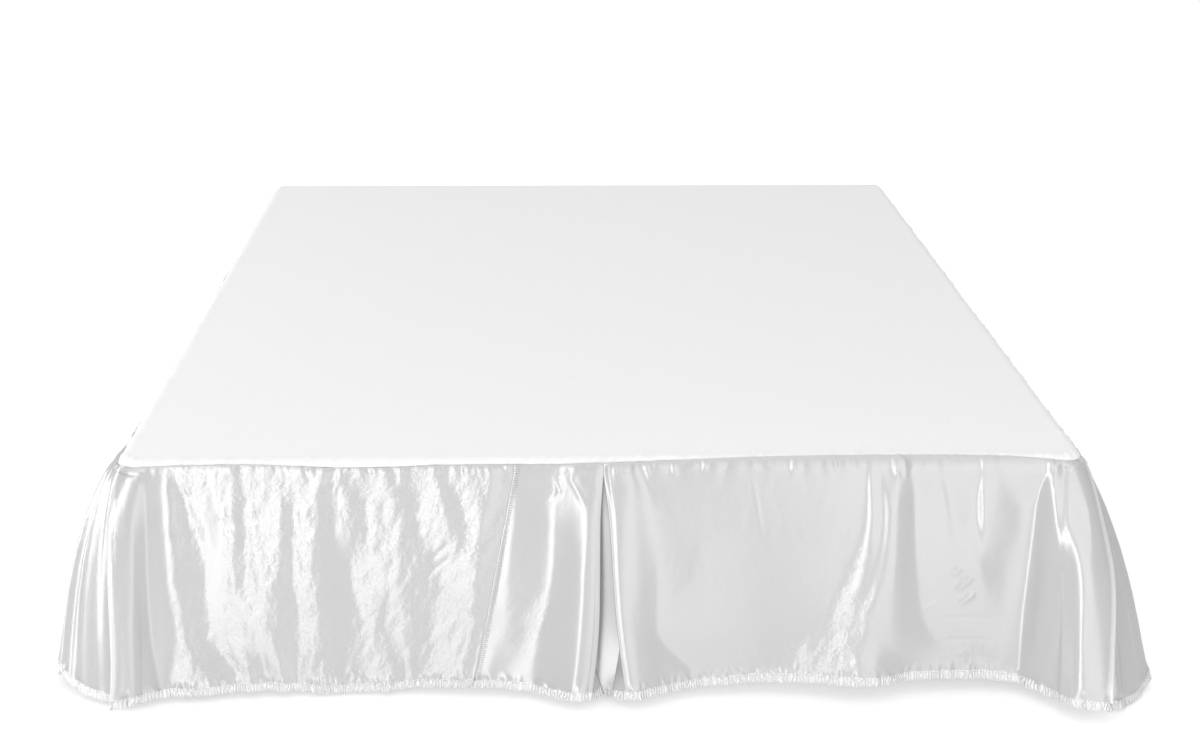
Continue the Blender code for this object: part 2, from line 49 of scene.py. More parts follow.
# Sizes in metres, as in the part
bed = {
    "width": 1.520, "length": 2.030, "height": 0.395,
    "edgeRoll": 0.020, "cornerRadius": 0.040, "headInset": 0.010,
}
skirt = {
    "drop": 0.381, "satin": 0.0012, "hemThickness": 0.0024, "hemDepth": 0.014, "hemMargin": 0.0002,
    "sideHem": 0.009, "rimShare": 0.45,
    "seamGap": 0.0009, "seatGap": 0.0003, "splitGap": 0.0016,
    "joinSeamAt": -0.140, "leftSplitAt": -0.7514, "rightSplitAt": 0.7650,
    "seamPuff": 0.004, "middlePuff": 0.011, "puffReach": 0.30, "puffPower": 1.5,
    "foldStart": 0.15, "foldReach": 0.12, "leastOut": 0.0006, "troughEase": 0.0008,
    "leftCornerBell": 0.68, "rightCornerBell": 0.84, "middleBell": 1.0, "bellReach": 0.30,
    "frontStep": 0.0027, "sideStep": 0.0080, "creaseStep": 0.0012, "cornerStep": 0.0017,
    "leftCornerTo": -0.700, "rightCornerFrom": 0.670, "sideFrom": 1.0,  # where those steps change
    "rowStep": 0.0038, "rollRows": 7,
    "hemLead": 0.006, "hemRows": (-0.003, 0.0, 0.003, 0.012, 0.022),  # shares of the drop
}
pleat = {
    "layer": 0.0022, "liftReach": 0.060, "liftLoss": 0.5, "edge": 0.0005, "freeReach": 0.006,
    "fineReach": 0.025, "turnColumns": 6, "flatColumns": 9, "backSkew": 0.0040, "backSkewShare": 0.5,
}

cornerStart = bed["width"] / 2 - bed["cornerRadius"]
cornerEnd = cornerStart + bed["cornerRadius"] * math.pi / 2
headEnd = cornerEnd + bed["length"] - bed["cornerRadius"] - bed["headInset"]

# How far over the edge roll the seam lies, in mm
seamLine = [
    # at, over
    (-2.80, 24.0), (-2.30, 26.5), (-1.80, 24.0), (-1.30, 26.5), (-0.95, 25.0), (-0.80, 23.5),
    (-0.75, 20.2), (-0.627, 15.7), (-0.565, 15.0), (-0.394, 21.3), (-0.316, 20.2),
    (-0.25, 17.5), (0.0, 17.5), (0.058, 14.0), (0.15, 9.8), (0.213, 6.3),
    (0.275, 4.2), (0.37, 2.2), (0.46, 2.0), (0.555, 3.0), (0.65, 8.0),
    (0.70, 14.0), (0.75, 19.0), (0.80, 22.5), (0.95, 25.0), (1.40, 26.5), (1.90, 24.0),
    (2.40, 26.0), (2.80, 24.0),
]

# Where the hem hangs, in mm: out from the deck's edge, along the seam path, longer than the drop
leftSideHem = [
    # at, out, along, longer
    (-2.77, 14, 0, 0), (-2.66, 24, 0, 0), (-2.52, 40, 0, 0), (-2.37, 18, 0, 0), (-2.22, 34, 0, 0),
    (-2.06, 16, 0, 0), (-1.90, 42, 0, 0), (-1.74, 22, 0, 0), (-1.60, 30, 0, 0), (-1.45, 15, 0, 0),
    (-1.32, 44, 0, 0), (-1.20, 26, 0, 0), (-1.06, 58, 0, 0), (-0.95, 105, 0, 3), (-0.88, 125, 12, 6),
    (-0.84, 125, 32, 8), (-0.80, 100, 37, 8), (-0.77, 58, 41, 6), (-0.7530, 46, 36, 4),
]
frontHem = [
    # at, out, along, longer
    (-0.7514, 80, 63, 10), (-0.735, 75, 21, 6), (-0.72, 58, 0, 2), (-0.69, 22, 0, 0),
    (-0.644, 7, 0, 0), (-0.58, 6, 0, 0), (-0.484, 14, 0, 0), (-0.40, 11, -20, 0),
    (-0.33, 3, -27, 0), (-0.25, 2, -43, 0), (-0.19, 3, -55, 0), (-0.14, 4, -67, 0),
    (-0.10, 12, -64, 0), (-0.06, 37, -44, 0), (-0.035, 47, -30, 0), (-0.018, 53, -24, 0),
    (-0.0005, 58, -21, 0), (0.0005, 61, 38, 0), (0.014, 60, 38, 0), (0.03, 56, 36, 0),
    (0.05, 47, 33, 0), (0.09, 32, 25, 0), (0.14, 17, 16, 0),
    (0.21, 6, 12, 0), (0.285, 16, 0, 0), (0.346, 36, 0, 0), (0.40, 45, 0, 0),
    (0.425, 44, 0, 0), (0.452, 30, 0, 0), (0.478, 20, 0, 0), (0.576, 12, 0, 0),
    (0.640, 18, 0, 0), (0.668, 35, 0, 0), (0.693, 65, 0, 2), (0.72, 88, 0, 4),
    (0.735, 98, -22, 6), (0.75, 101, -60, 12), (0.765, 90, -99, 20),
]
rightSideHem = [
    # at, out, along, longer
    (0.7666, 67, -82, 16), (0.783, 68, -124, 26), (0.80, 102, -106, 26), (0.83, 127, -76, 20),
    (0.87, 133, -50, 14), (0.92, 122, -20, 6), (1.00, 90, 0, 3), (1.10, 50, 0, 0), (1.24, 24, 0, 0),
    (1.36, 40, 0, 0), (1.50, 18, 0, 0), (1.66, 46, 0, 0), (1.82, 20, 0, 0), (1.94, 33, 0, 0),
    (2.10, 15, 0, 0), (2.26, 42, 0, 0), (2.42, 20, 0, 0), (2.56, 34, 0, 0), (2.68, 20, 0, 0),
    (2.77, 14, 0, 0),
]

# Main folds: where each runs, how far it stands out and its half width, at the seam, half way
# down and at the hem. Places in m along the seam path, the rest in mm, a trough negative.
leftSideFolds = [
    # places, heights, half widths
    ((-0.772, -0.771, -0.771), (-2, -3, -2), (4, 5, 5)),
    ((-0.790, -0.786, -0.784), (2, 4, 1), (6, 6, 7)),
    ((-0.806, -0.802, -0.800), (-2, -3, -3), (5, 6, 8)),
    ((-0.820, -0.817, -0.816), (2, 4, 2), (5, 6, 7)),
    ((-0.880, -0.880, -0.890), (-3, -8, -4), (16, 20, 22)),
    ((-0.990, -0.985, -0.980), (4, 7, 3), (22, 26, 30)),
    ((-1.120, -1.110, -1.120), (-3, -7, -4), (22, 26, 26)),
    ((-1.290, -1.300, -1.310), (5, 9, 5), (26, 30, 34)),
    ((-1.520, -1.500, -1.490), (-2, -6, -3), (24, 28, 28)),
    ((-1.700, -1.710, -1.720), (4, 7, 3), (26, 30, 30)),
    ((-1.930, -1.920, -1.900), (5, 9, 6), (24, 28, 34)),
    ((-2.110, -2.120, -2.130), (-3, -6, -3), (24, 28, 30)),
    ((-2.290, -2.280, -2.260), (4, 8, 4), (26, 30, 30)),
    ((-2.520, -2.530, -2.540), (5, 9, 5), (26, 32, 34)),
    ((-2.680, -2.680, -2.680), (-2, -5, -2), (20, 24, 26)),
]
rightSideFolds = [
    # places, heights, half widths
    ((0.788, 0.792, 0.786), (-3, -7, -3), (7, 9, 9)),
    ((0.806, 0.812, 0.806), (-2, -4, -4), (6, 8, 7)),
    ((0.825, 0.828, 0.826), (2, 4, 2), (7, 8, 8)),
    ((0.860, 0.860, 0.860), (-3, -5, -3), (12, 12, 14)),
    ((0.900, 0.905, 0.910), (-3, -7, -3), (16, 20, 22)),
    ((1.020, 1.010, 1.000), (4, 8, 3), (24, 26, 30)),
    ((1.170, 1.180, 1.190), (-3, -7, -4), (24, 26, 28)),
    ((1.370, 1.360, 1.350), (4, 9, 5), (26, 30, 32)),
    ((1.560, 1.550, 1.540), (-2, -6, -3), (24, 28, 28)),
    ((1.640, 1.650, 1.670), (5, 8, 5), (22, 28, 30)),
    ((1.930, 1.940, 1.950), (5, 8, 4), (26, 28, 30)),
    ((2.110, 2.100, 2.090), (-3, -6, -3), (24, 26, 28)),
    ((2.240, 2.250, 2.260), (5, 9, 5), (24, 30, 32)),
    ((2.460, 2.470, 2.480), (-3, -5, -3), (24, 28, 28)),
    ((2.590, 2.580, 2.570), (4, 8, 4), (24, 28, 30)),
]

# The inverted box pleat, in mm from the middle of the front
pleatShape = [
    # down, left edge, left inner fold, right inner fold, right edge, back
    (0.0, -1.0, -27.5, 27.5, 1.0, 0.0),
    (0.2, -6.0, -30.0, 31.0, 10.0, 8.0),
    (0.6, -7.5, -31.0, 34.0, 20.0, 23.0),
    (0.8, -12.0, -20.0, 25.0, 28.0, 33.0),
    (1.0, -21.0, 0.0, 13.0, 38.0, 39.0),
]

# How the front hangs in shallow folds. Each row is a line down the cloth: where it lies, in mm
# from the middle of the front, and how many degrees the cloth is turned to the left there, both
# at the heights below the seam in turnHeights.
turnHeights = (12, 95, 185, 275, 350)
leftTurns = [
    # places, turns
    ((-751, -746, -744, -744, -744), (-9, -6, -4, -3, -3)),
    ((-751, -744, -742, -742, -741), (-9, -5, -3, -2, -2)),
    ((-750, -741, -739, -739, -739), (-12, -14, -15, -16, -16)),
    ((-735, -734, -734, -733, -732), (-12, -15, -16, -18, -20)),
    ((-723, -727, -726, -727, -726), (-14, -18, -20, -26, -30)),
    ((-716, -721, -722, -721, -720), (-22, -34, -40, -46, -46)),
    ((-708, -710, -709, -707, -702), (-18, -34, -40, -46, -46)),
    ((-703, -706, -705, -703, -698), (-12, -16, -18, -22, -26)),
    ((-689, -686, -686, -679, -691), (-11, -12, -12, -10, -8)),
    ((-679, -678, -676, -669, -681), (-3, 0, 2, 3, 3)),
    ((-676, -674, -670, -663, -662), (-10, -10, -6, 0, 3)),
    ((-673, -668, -660, -655, -637), (-20, -20, -14, -14, -4)),
    ((-665, -653, -638, -637, -613), (-20, -18, -13, -12, -18)),
    ((-662, -641, -625, -625, -588), (-10, -8, -8, -8, -18)),
    ((-657, -633, -619, -617, -577), (3, 3, 3, 3, 0)),
    ((-647, -625, -608, -603, -572), (-11, 2, 2, 4, 5)),
    ((-631, -613, -598, -587, -569), (2, -6, 2, 3, 5)),
    ((-620, -603, -589, -574, -564), (-9, -5, 4, 1, -5)),
    ((-606, -589, -581, -563, -556), (1, 3, 0, 5, -26)),
    ((-581, -578, -573, -555, -544), (0, -4, -6, 4, -26)),
    ((-566, -566, -564, -545, -536), (-15, -15, -4, 2, -3)),
    ((-559, -559, -556, -536, -530), (-9, -9, 4, -1, 5)),
    ((-552, -551, -545, -529, -520), (5, 5, 5, -5, 5)),
    ((-543, -540, -532, -523, -513), (-1, -3, 3, -9, -1)),
    ((-526, -526, -519, -514, -506), (-2, 2, -1, -14, -28)),
    ((-508, -510, -512, -502, -496), (2, 4, -9, -14, -28)),
    ((-495, -496, -501, -490, -488), (3, -12, -13, -11, -14)),
    ((-486, -489, -490, -482, -484), (4, -14, -12, -8, 2)),
    ((-477, -483, -483, -475, -478), (2, 2, 2, 4, 6)),
    ((-464, -470, -469, -464, -471), (2, 6, 6, 6, 5)),
    ((-452, -455, -455, -452, -461), (0, 1, 0, 0, -4)),
    ((-441, -447, -446, -442, -440), (-1, -6, -7, -6, -6)),
    ((-432, -423, -415, -403, -405), (-9, -7, -8, -6, -8)),
    ((-423, -407, -395, -375, -384), (-5, 2, -8, -6, -3)),
    ((-417, -395, -386, -367, -373), (7, 1, -1, -1, -1)),
    ((-407, -381, -380, -360, -363), (-5, -6, 7, 8, 1)),
    ((-393, -368, -368, -350, -346), (-1, -7, 7, 8, 5)),
    ((-378, -357, -352, -339, -324), (1, 7, 8, 0, 8)),
    ((-359, -343, -336, -326, -313), (3, 0, 7, -4, 6)),
    ((-340, -327, -319, -316, -303), (4, 7, 8, 4, -8)),
    ((-327, -314, -307, -305, -288), (-6, 4, 3, 8, -6)),
    ((-316, -304, -296, -292, -276), (-1, -5, 0, 3, 9)),
    ((-300, -288, -277, -269, -262), (-3, -4, -3, -3, -11)),
    ((-286, -275, -256, -247, -248), (5, 5, -2, -1, 3)),
    ((-277, -255, -239, -236, -230), (9, 8, 1, 6, 8)),
    ((-266, -236, -227, -221, -211), (4, 7, 8, 9, 8)),
    ((-257, -226, -209, -202, -191), (-6, -4, 10, 6, 10)),
    ((-246, -210, -195, -183, -178), (-1, -4, 9, 8, 8)),
    ((-232, -200, -183, -171, -171), (7, 6, 6, 8, 2)),
    ((-215, -190, -176, -163, -167), (6, 10, 0, 6, -4)),
    ((-192, -180, -166, -157, -158), (2, 5, -10, -4, -4)),
    ((-176, -175, -159, -154, -156), (10, -10, -12, -5, -4)),
    ((-167, -165, -152, -151, -154), (-12, -13, -10, -8, -4)),
    ((-155, -155, -145, -148, -151), (-13, -9, -10, -8, -3)),
    ((-141, -141, -136, -141, -145), (-4, -8, -12, 2, 7)),
    ((-136, -130, -127, -124, -131), (4, 10, 10, 8, 10)),
    ((-127, -119, -114, -104, -113), (-3, -2, -1, 6, -2)),
    ((-114, -98, -88, -89, -90), (-1, -2, -2, 2, 7)),
    ((-99, -80, -70, -82, -82), (7, 2, 2, 6, 9)),
    ((-82, -70, -63, -72, -74), (9, 11, 11, 11, 11)),
    ((-72, -63, -55, -63, -64), (17, 20, 22, 24, 20)),
    ((-55, -41, -38, -38, -37), (19, 22, 26, 28, 26)),
    ((-45, -28, -28, -27, -28), (18, 19, 21, 22, 22)),
    ((-31, -20, -22, -22, -23), (5, 12, 12, 12, 12)),
    ((-17, -15, -18, -18, -19), (7, 0, -2, -4, -6)),
    ((0, 0, 0, 0, 0), (-8, -14, -14, -14, -16)),
]
rightTurns = [
    # places, turns
    ((3, 6, 3, 2, 0), (13, 13, 13, 13, 13)),
    ((6, 9, 6, 6, 8), (12, 13, 13, 13, 13)),
    ((10, 13, 9, 10, 12), (4, 3, 3, 3, 3)),
    ((23, 23, 21, 18, 24), (8, 1, -3, -4, -4)),
    ((31, 35, 34, 33, 41), (10, -5, -8, -8, -8)),
    ((37, 46, 50, 47, 69), (-10, -12, -12, -9, -8)),
    ((47, 58, 66, 58, 102), (-20, -13, -12, -9, -12)),
    ((55, 70, 73, 62, 118), (-8, -6, -11, -7, -14)),
    ((63, 80, 79, 70, 132), (12, -2, -1, 3, 2)),
    ((76, 96, 98, 91, 161), (0, 0, 3, 4, 3)),
    ((135, 132, 128, 124, 209), (-1, 0, 5, 4, 2)),
    ((182, 172, 164, 167, 267), (-1, 0, 0, 1, 3)),
    ((229, 228, 227, 227, 299), (-1, 0, 0, 0, 8)),
    ((292, 293, 294, 297, 321), (0, 0, 0, 1, 15)),
    ((354, 355, 357, 343, 353), (-1, 0, 1, 4, 17)),
    ((398, 399, 380, 362, 376), (-6, -1, 5, 12, 18)),
    ((411, 412, 393, 371, 392), (-8, 6, 14, 18, 17)),
    ((415, 418, 404, 382, 405), (19, 20, 19, 19, 12)),
    ((419, 425, 413, 392, 414), (-8, -5, 14, 15, 6)),
    ((423, 432, 423, 400, 421), (-9, -8, 9, 14, 2)),
    ((430, 440, 432, 409, 430), (-4, 10, 16, 19, -8)),
    ((434, 444, 437, 416, 444), (0, 20, 19, 14, -22)),
    ((442, 448, 446, 425, 462), (-2, 10, 6, 3, -24)),
    ((453, 456, 454, 442, 481), (14, -4, -3, 0, -20)),
    ((462, 464, 462, 461, 495), (-4, -20, -18, -12, -14)),
    ((473, 476, 476, 483, 517), (-16, -26, -22, -20, -8)),
    ((482, 486, 490, 504, 550), (-28, -24, -20, -18, -4)),
    ((490, 493, 499, 517, 574), (-6, -4, -4, -5, -6)),
    ((499, 513, 516, 537, 599), (9, -1, 2, 0, -2)),
    ((513, 534, 539, 561, 613), (-12, -2, 0, 0, 6)),
    ((524, 545, 553, 582, 623), (14, 8, 4, 0, 17)),
    ((536, 554, 567, 602, 632), (-8, -6, 8, 0, 17)),
    ((562, 567, 583, 610, 607), (-4, -7, 6, 2, 14)),
    ((582, 583, 596, 621, 619), (-4, 0, -2, 4, 17)),
    ((592, 595, 604, 627, 629), (32, 30, -8, 4, 17)),
    ((599, 603, 612, 633, 635), (-6, 1, -6, 4, 8)),
    ((610, 614, 625, 638, 640), (1, -3, -4, 6, 17)),
    ((628, 631, 638, 645, 646), (-5, -6, 1, 10, 20)),
    ((650, 650, 649, 650, 650), (-4, -6, 6, 14, 20)),
    ((675, 670, 659, 655, 653), (-2, 14, 16, 17, 20)),
    ((686, 675, 664, 658, 658), (12, 22, 22, 22, 22)),
    ((689, 677, 667, 661, 660), (28, 27, 25, 25, 25)),
    ((694, 681, 671, 667, 664), (38, 42, 46, 48, 50)),
    ((697, 690, 682, 677, 679), (36, 44, 50, 52, 54)),
    ((700, 699, 699, 695, 696), (26, 42, 44, 46, 50)),
    ((703, 705, 708, 707, 709), (10, 36, 44, 46, 52)),
    ((708, 709, 717, 719, 720), (-6, 26, 44, 48, 54)),
    ((712, 713, 723, 725, 726), (-10, 14, 44, 48, 54)),
    ((719, 719, 727, 729, 731), (-4, 12, 48, 50, 50)),
    ((725, 722, 731, 732, 733), (20, 24, 50, 46, 46)),
    ((730, 725, 734, 734, 735), (16, 8, 44, 26, 26)),
    ((735, 730, 735, 735, 738), (8, 2, 34, 14, 14)),
    ((739, 738, 737, 737, 743), (26, 4, 24, 4, 2)),
    ((743, 744, 740, 742, 747), (20, 26, 4, 0, -2)),
    ((747, 746, 745, 747, 750), (-14, 0, -14, -10, -10)),
    ((750, 749, 748, 750, 753), (-24, -24, -22, -14, -10)),
]

# Creases finer than the folds: the points each follows, as mm along the seam path and mm below
# the seam, its height and its half width in mm
frontCreases = [
    # line, height, half width
    ([(-658, 8), (-640, 54)], 1.2, 2.6), ([(-615, 7), (-626, 47)], 1.0, 2.4),
    ([(-431, 49), (-413, 6)], 1.1, 2.2), ([(-421, 49), (-406, 6)], 1.1, 2.2),
    ([(-255, 157), (-223, 122)], -1.0, 3.5), ([(-263, 188), (-216, 143)], -1.2, 3.5),
    ([(-245, 226), (-205, 188)], -0.9, 3.5),
    ([(-392, 341), (-374, 351), (-381, 365), (-367, 372)], 1.3, 2.6),
    ([(-158, 230), (-176, 237), (-158, 264), (-173, 285)], 1.2, 3.0),
    ([(-129, 8), (-129, 38)], -1.0, 3.0), ([(-100, 8), (-90, 35)], 1.0, 3.0),
    ([(-72, 4), (-75, 24), (-64, 45), (-79, 66)], 1.6, 3.2), ([(-43, 4), (-50, 24), (-19, 70)], 1.2, 3.0),
    ([(65, 3), (72, 28)], 1.4, 2.4), ([(108, 3), (111, 27)], 1.2, 2.2), ([(162, 3), (154, 25)], 1.2, 2.2),
    ([(233, 33), (241, 87), (251, 137)], 0.6, 2.4), ([(302, 3), (294, 31)], 1.3, 2.4),
    ([(359, 3), (366, 33)], 1.3, 2.4), ([(452, 6), (463, 46)], 1.4, 2.6), ([(470, 6), (474, 46)], 1.4, 2.6),
    ([(553, 202), (567, 185)], 2.6, 4.2), ([(557, 229), (589, 198)], 2.9, 4.4),
    ([(564, 252), (593, 228)], 2.9, 4.4), ([(503, 263), (542, 239)], 0.8, 3.0),
    ([(521, 276), (582, 272), (632, 275)], -1.4, 3.2), ([(524, 316), (589, 312), (636, 312)], -1.2, 3.2),
    ([(532, 346), (589, 346), (636, 339)], -1.2, 3.0), ([(126, 229), (68, 293)], 0.5, 9.0),
    ([(144, 188), (93, 225)], 0.4, 8.0), ([(704, 52), (722, 43)], 1.2, 2.4),
]


def smoothRead(rows, at, column):  # a table's column on a curve that never swings past its rows
    places = np.array([row[0] for row in rows], float)
    values = np.array([row[column] for row in rows], float)
    rise = np.diff(values) / np.diff(places)
    before = np.append(rise[0], rise)
    after = np.append(rise, rise[-1])
    together = before * after > 0
    slopes = np.where(together, 2 * before * after / np.where(together, before + after, 1), 0)
    at = np.clip(at, places[0], places[-1])
    i = np.clip(np.searchsorted(places, at) - 1, 0, len(places) - 2)
    step = places[i + 1] - places[i]
    f = (at - places[i]) / step
    return (
        values[i] * (1 + 2 * f) * (1 - f) ** 2 + slopes[i] * step * f * (1 - f) ** 2
        + values[i + 1] * f * f * (3 - 2 * f) - slopes[i + 1] * step * f * f * (1 - f)
    )


def ease(f):
    f = np.clip(f, 0, 1)
    return f * f * (3 - 2 * f)


def downTheDrop(three, t):  # a value given at the seam, half way down and at the hem
    top, middle, hem = three
    upper = top + (middle - top) * np.sin(math.pi * t)
    lower = middle + (hem - middle) * (1 - np.cos(math.pi * (t - 0.5)))
    return np.where(t < 0.5, upper, lower)


def seamPath(at):  # the deck's edge: its points, the way out and the way along
    side = np.where(at < 0, -1.0, 1.0)
    reach = np.abs(at)
    radius = bed["cornerRadius"]
    turn = np.clip((reach - cornerStart) / radius, 0, math.pi / 2)
    out = np.stack([side * np.sin(turn), -np.cos(turn)], -1)
    along = np.stack([-out[..., 1], out[..., 0]], -1)
    x = side * np.minimum(reach, cornerStart) + radius * out[..., 0]
    y = -bed["length"] / 2 + radius + radius * out[..., 1] + np.maximum(reach - cornerEnd, 0)
    return np.stack([x + bedMiddle.x, y + bedMiddle.y], -1), out, along


def place(at, out, along, height):
    point, outward, tangent = seamPath(at)
    flat = point + outward * out[..., None] + tangent * along[..., None]
    return np.concatenate([flat, height[..., None]], -1)


def seamOver(at):
    return smoothRead(seamLine, at, 1) / 1000


def clothOut(hem, folds, at, t):  # how far out the satin hangs
    nearCorner = ease(np.abs(np.abs(at) - cornerEnd) / skirt["bellReach"])
    cornerBell = np.where(at < 0, skirt["leftCornerBell"], skirt["rightCornerBell"])
    bell = cornerBell + (skirt["middleBell"] - cornerBell) * nearCorner
    out = smoothRead(hem, at, 1) / 1000 * t**bell
    puff = np.sin(math.pi * np.minimum(t / skirt["puffReach"], 1) / 2) * (1 - t)
    out = out + skirt["seamPuff"] * puff
    middle = np.maximum(np.sin(math.pi * t), 0) ** skirt["puffPower"]
    out = out + (skirt["middlePuff"] - skirt["seamPuff"]) * middle
    for places, heights, widths in folds:
        off = (at - downTheDrop(places, t)) / (downTheDrop(widths, t) / 1000)
        rise = downTheDrop(heights, t) / 1000 * np.exp(-off * off)
        out = out + rise * ease(t / skirt["foldReach"] + skirt["foldStart"])
    lift = 2 * pleat["layer"] * (1 - ease(np.abs(at) / pleat["liftReach"])) * (1 - pleat["liftLoss"] * t)
    return np.maximum(out, 0) + skirt["leastOut"] + lift


def clothAlong(hem, at, t):  # how far along the seam path the hanging satin has drifted
    along = smoothRead(hem, at, 2) / 1000 * t
    edge = np.where(at < 0, smoothRead(pleatShape, t, 1), smoothRead(pleatShape, t, 4)) / 1000
    beside = smoothRead(hem, np.where(at < 0, -1, 1) * pleat["edge"], 2) / 1000 * t
    return along + (edge - beside) * (1 - ease(np.abs(at) / pleat["liftReach"]))


def dropRows():  # heights down the hanging satin as shares of the drop, closer at the hem's top edge
    hemTop = 1 - skirt["hemDepth"] / skirt["drop"]
    last = hemTop - skirt["hemLead"]
    rows = np.linspace(0, last, round(skirt["drop"] * last / skirt["rowStep"]) + 1)
    return np.concatenate([rows, hemTop + np.array(skirt["hemRows"]), [1.0]])


def hangColumns(at, out, along, longer):
    # columns of satin from the seam over the edge roll and down to the hem. out and along are
    # given at each of dropRows. Gives the points and how far each lies below the seam.
    seam = seamOver(at)[:, None]
    roll = bed["edgeRoll"]
    quarter = roll * math.pi / 2
    over = seam + (quarter - seam) * np.linspace(0, 1, skirt["rollRows"] + 1)
    over[:, 0] += skirt["seamGap"]
    turn = over / roll
    lift = out[:, :1] - skirt["satin"] / 2
    rollOut = roll * (np.sin(turn) - 1) + lift * np.sin(turn)
    rollHeight = bed["height"] - roll * (1 - np.cos(turn)) + lift * np.cos(turn)
    rolled = place(at[:, None], rollOut, along[:, :1], rollHeight)
    hanging = skirt["drop"] + longer[:, None] - (quarter - seam)
    cloth = np.diff(dropRows()) * hanging
    sideways = np.diff(out, axis=1) ** 2 + np.diff(along, axis=1) ** 2
    fall = np.sqrt(np.maximum(cloth**2 - sideways, 0))
    height = rollHeight[:, -1:] - np.cumsum(fall, 1)
    hung = place(at[:, None], out[:, 1:] - skirt["satin"] / 2, along[:, 1:], height)
    below = np.concatenate([over - seam, over[:, -1:] - seam + np.cumsum(cloth, 1)], 1)
    return np.concatenate([rolled, hung], 1), below


def spread(start, end, step):
    return np.linspace(start, end, max(2, round(abs(end - start) / step)) + 1)


def plainColumns(hem, folds, at):
    t = dropRows()[None, :]
    wide = at[:, None]
    longer = smoothRead(hem, at, 3) / 1000
    return hangColumns(at, clothOut(hem, folds, wide, t), clothAlong(hem, wide, t), longer)


def clearOf(hem, folds, at):  # how far the satin could be pushed in before it met the bed base
    least = skirt["satin"] / 4
    hanging = clothOut(hem, folds, at[:, None], dropRows()[None, 1:]) - skirt["satin"]
    rolled = np.full((len(at), skirt["rollRows"] + 1), least)
    return np.maximum(np.concatenate([rolled, hanging], 1), least)


def heldOut(relief, clear):  # eases off a trough that would go deeper than the cloth is clear
    soft = skirt["troughEase"]
    return soft * np.logaddexp(0, (relief + clear) / soft) - clear


def pleatColumns():  # the hidden back and returns of the box pleat, with rounded turns
    t = dropRows()
    left, leftInner, rightInner, right, back = (
        smoothRead(pleatShape, t, column) / 1000 for column in range(1, 6)
    )
    leftRim, rightRim = (
        clothOut(frontHem, [], np.array([[at]]), t[None, :])[0] for at in (-pleat["edge"], pleat["edge"])
    )
    skew = np.minimum(back * pleat["backSkewShare"], pleat["backSkew"])
    back = back + skirt["leastOut"]
    layer = pleat["layer"]
    turns = [
        # from, to, way round
        ((left, leftRim), (left, leftRim - layer), 1),
        ((leftInner, back - skew + layer), (leftInner, back - skew), -1),
        ((rightInner, back + skew), (rightInner, back + skew + layer), 1),
        ((right, rightRim - layer), (right, rightRim), -1),
    ]
    columns = []

    def turnRound(first, second, way):  # a half round from one corner to the next
        for k in range(1, pleat["turnColumns"]):
            angle = math.pi * k / pleat["turnColumns"]
            share = (1 - math.cos(angle)) / 2
            across = first[0] + (second[0] - first[0]) * share + way * layer / 2 * math.sin(angle)
            columns.append((across, first[1] + (second[1] - first[1]) * share))

    def straight(first, second, count):
        for k in range(count + 1):
            share = k / count
            columns.append(tuple(a + (b - a) * share for a, b in zip(first, second)))

    for one, following, wide in zip(turns, turns[1:], (1, 2, 1)):
        turnRound(*one)
        straight(one[1], following[0], wide * pleat["flatColumns"])
    turnRound(*turns[-1])
    across, out = (np.array(values) for values in zip(*columns))
    none = np.zeros(len(columns))
    return hangColumns(none, out, across, none)


rollEasing = {"firstRow": 2, "rows": 26, "fullShare": 0.6, "rounds": 60, "pull": 0.5}


def eased(points):
    # lets the cloth leave the edge roll on one smooth curve instead of a kink, and only outwards
    first = rollEasing["firstRow"]
    full = rollEasing["rows"] * rollEasing["fullShare"]
    fading = rollEasing["rows"] - full
    share = np.clip(1 - (np.arange(points.shape[1]) - first - full) / fading, 0, 1)
    share[:first] = 0
    share[-1] = 0
    soft = points.copy()
    for _ in range(rollEasing["rounds"]):
        middle = (soft[:, :-2] + soft[:, 2:]) / 2
        soft[:, 1:-1] += (middle - soft[:, 1:-1]) * share[None, 1:-1, None] * rollEasing["pull"]
    normal = gridNormals(points)[0]
    outward = np.maximum(((soft - points) * normal).sum(-1, keepdims=True), 0)
    return points + normal * outward


def gridNormals(points):  # outward normals and the two directions of a grid of points
    across = np.gradient(points, axis=0)
    down = np.gradient(points, axis=1)
    normal = np.cross(down, across)
    return [v / np.maximum(np.linalg.norm(v, axis=-1, keepdims=True), 1e-9) for v in (normal, across, down)]


def softNoise(across, down, cellAcross, cellDown, seed):  # smooth noise, -1 to 1, on stretched cells
    cells = 257
    start = 1000  # far enough along that no cell's number is negative
    table = np.random.default_rng(seed).uniform(-1, 1, (cells, cells))
    x = across / cellAcross + start
    y = down / cellDown + start
    i = np.floor(x).astype(int)
    j = np.floor(y).astype(int)
    fx = ease(x - i)
    fy = ease(y - j)
    low, high = (
        table[i % cells, row % cells] * (1 - fx) + table[(i + 1) % cells, row % cells] * fx
        for row in (j, j + 1)
    )
    return low * (1 - fy) + high * fy


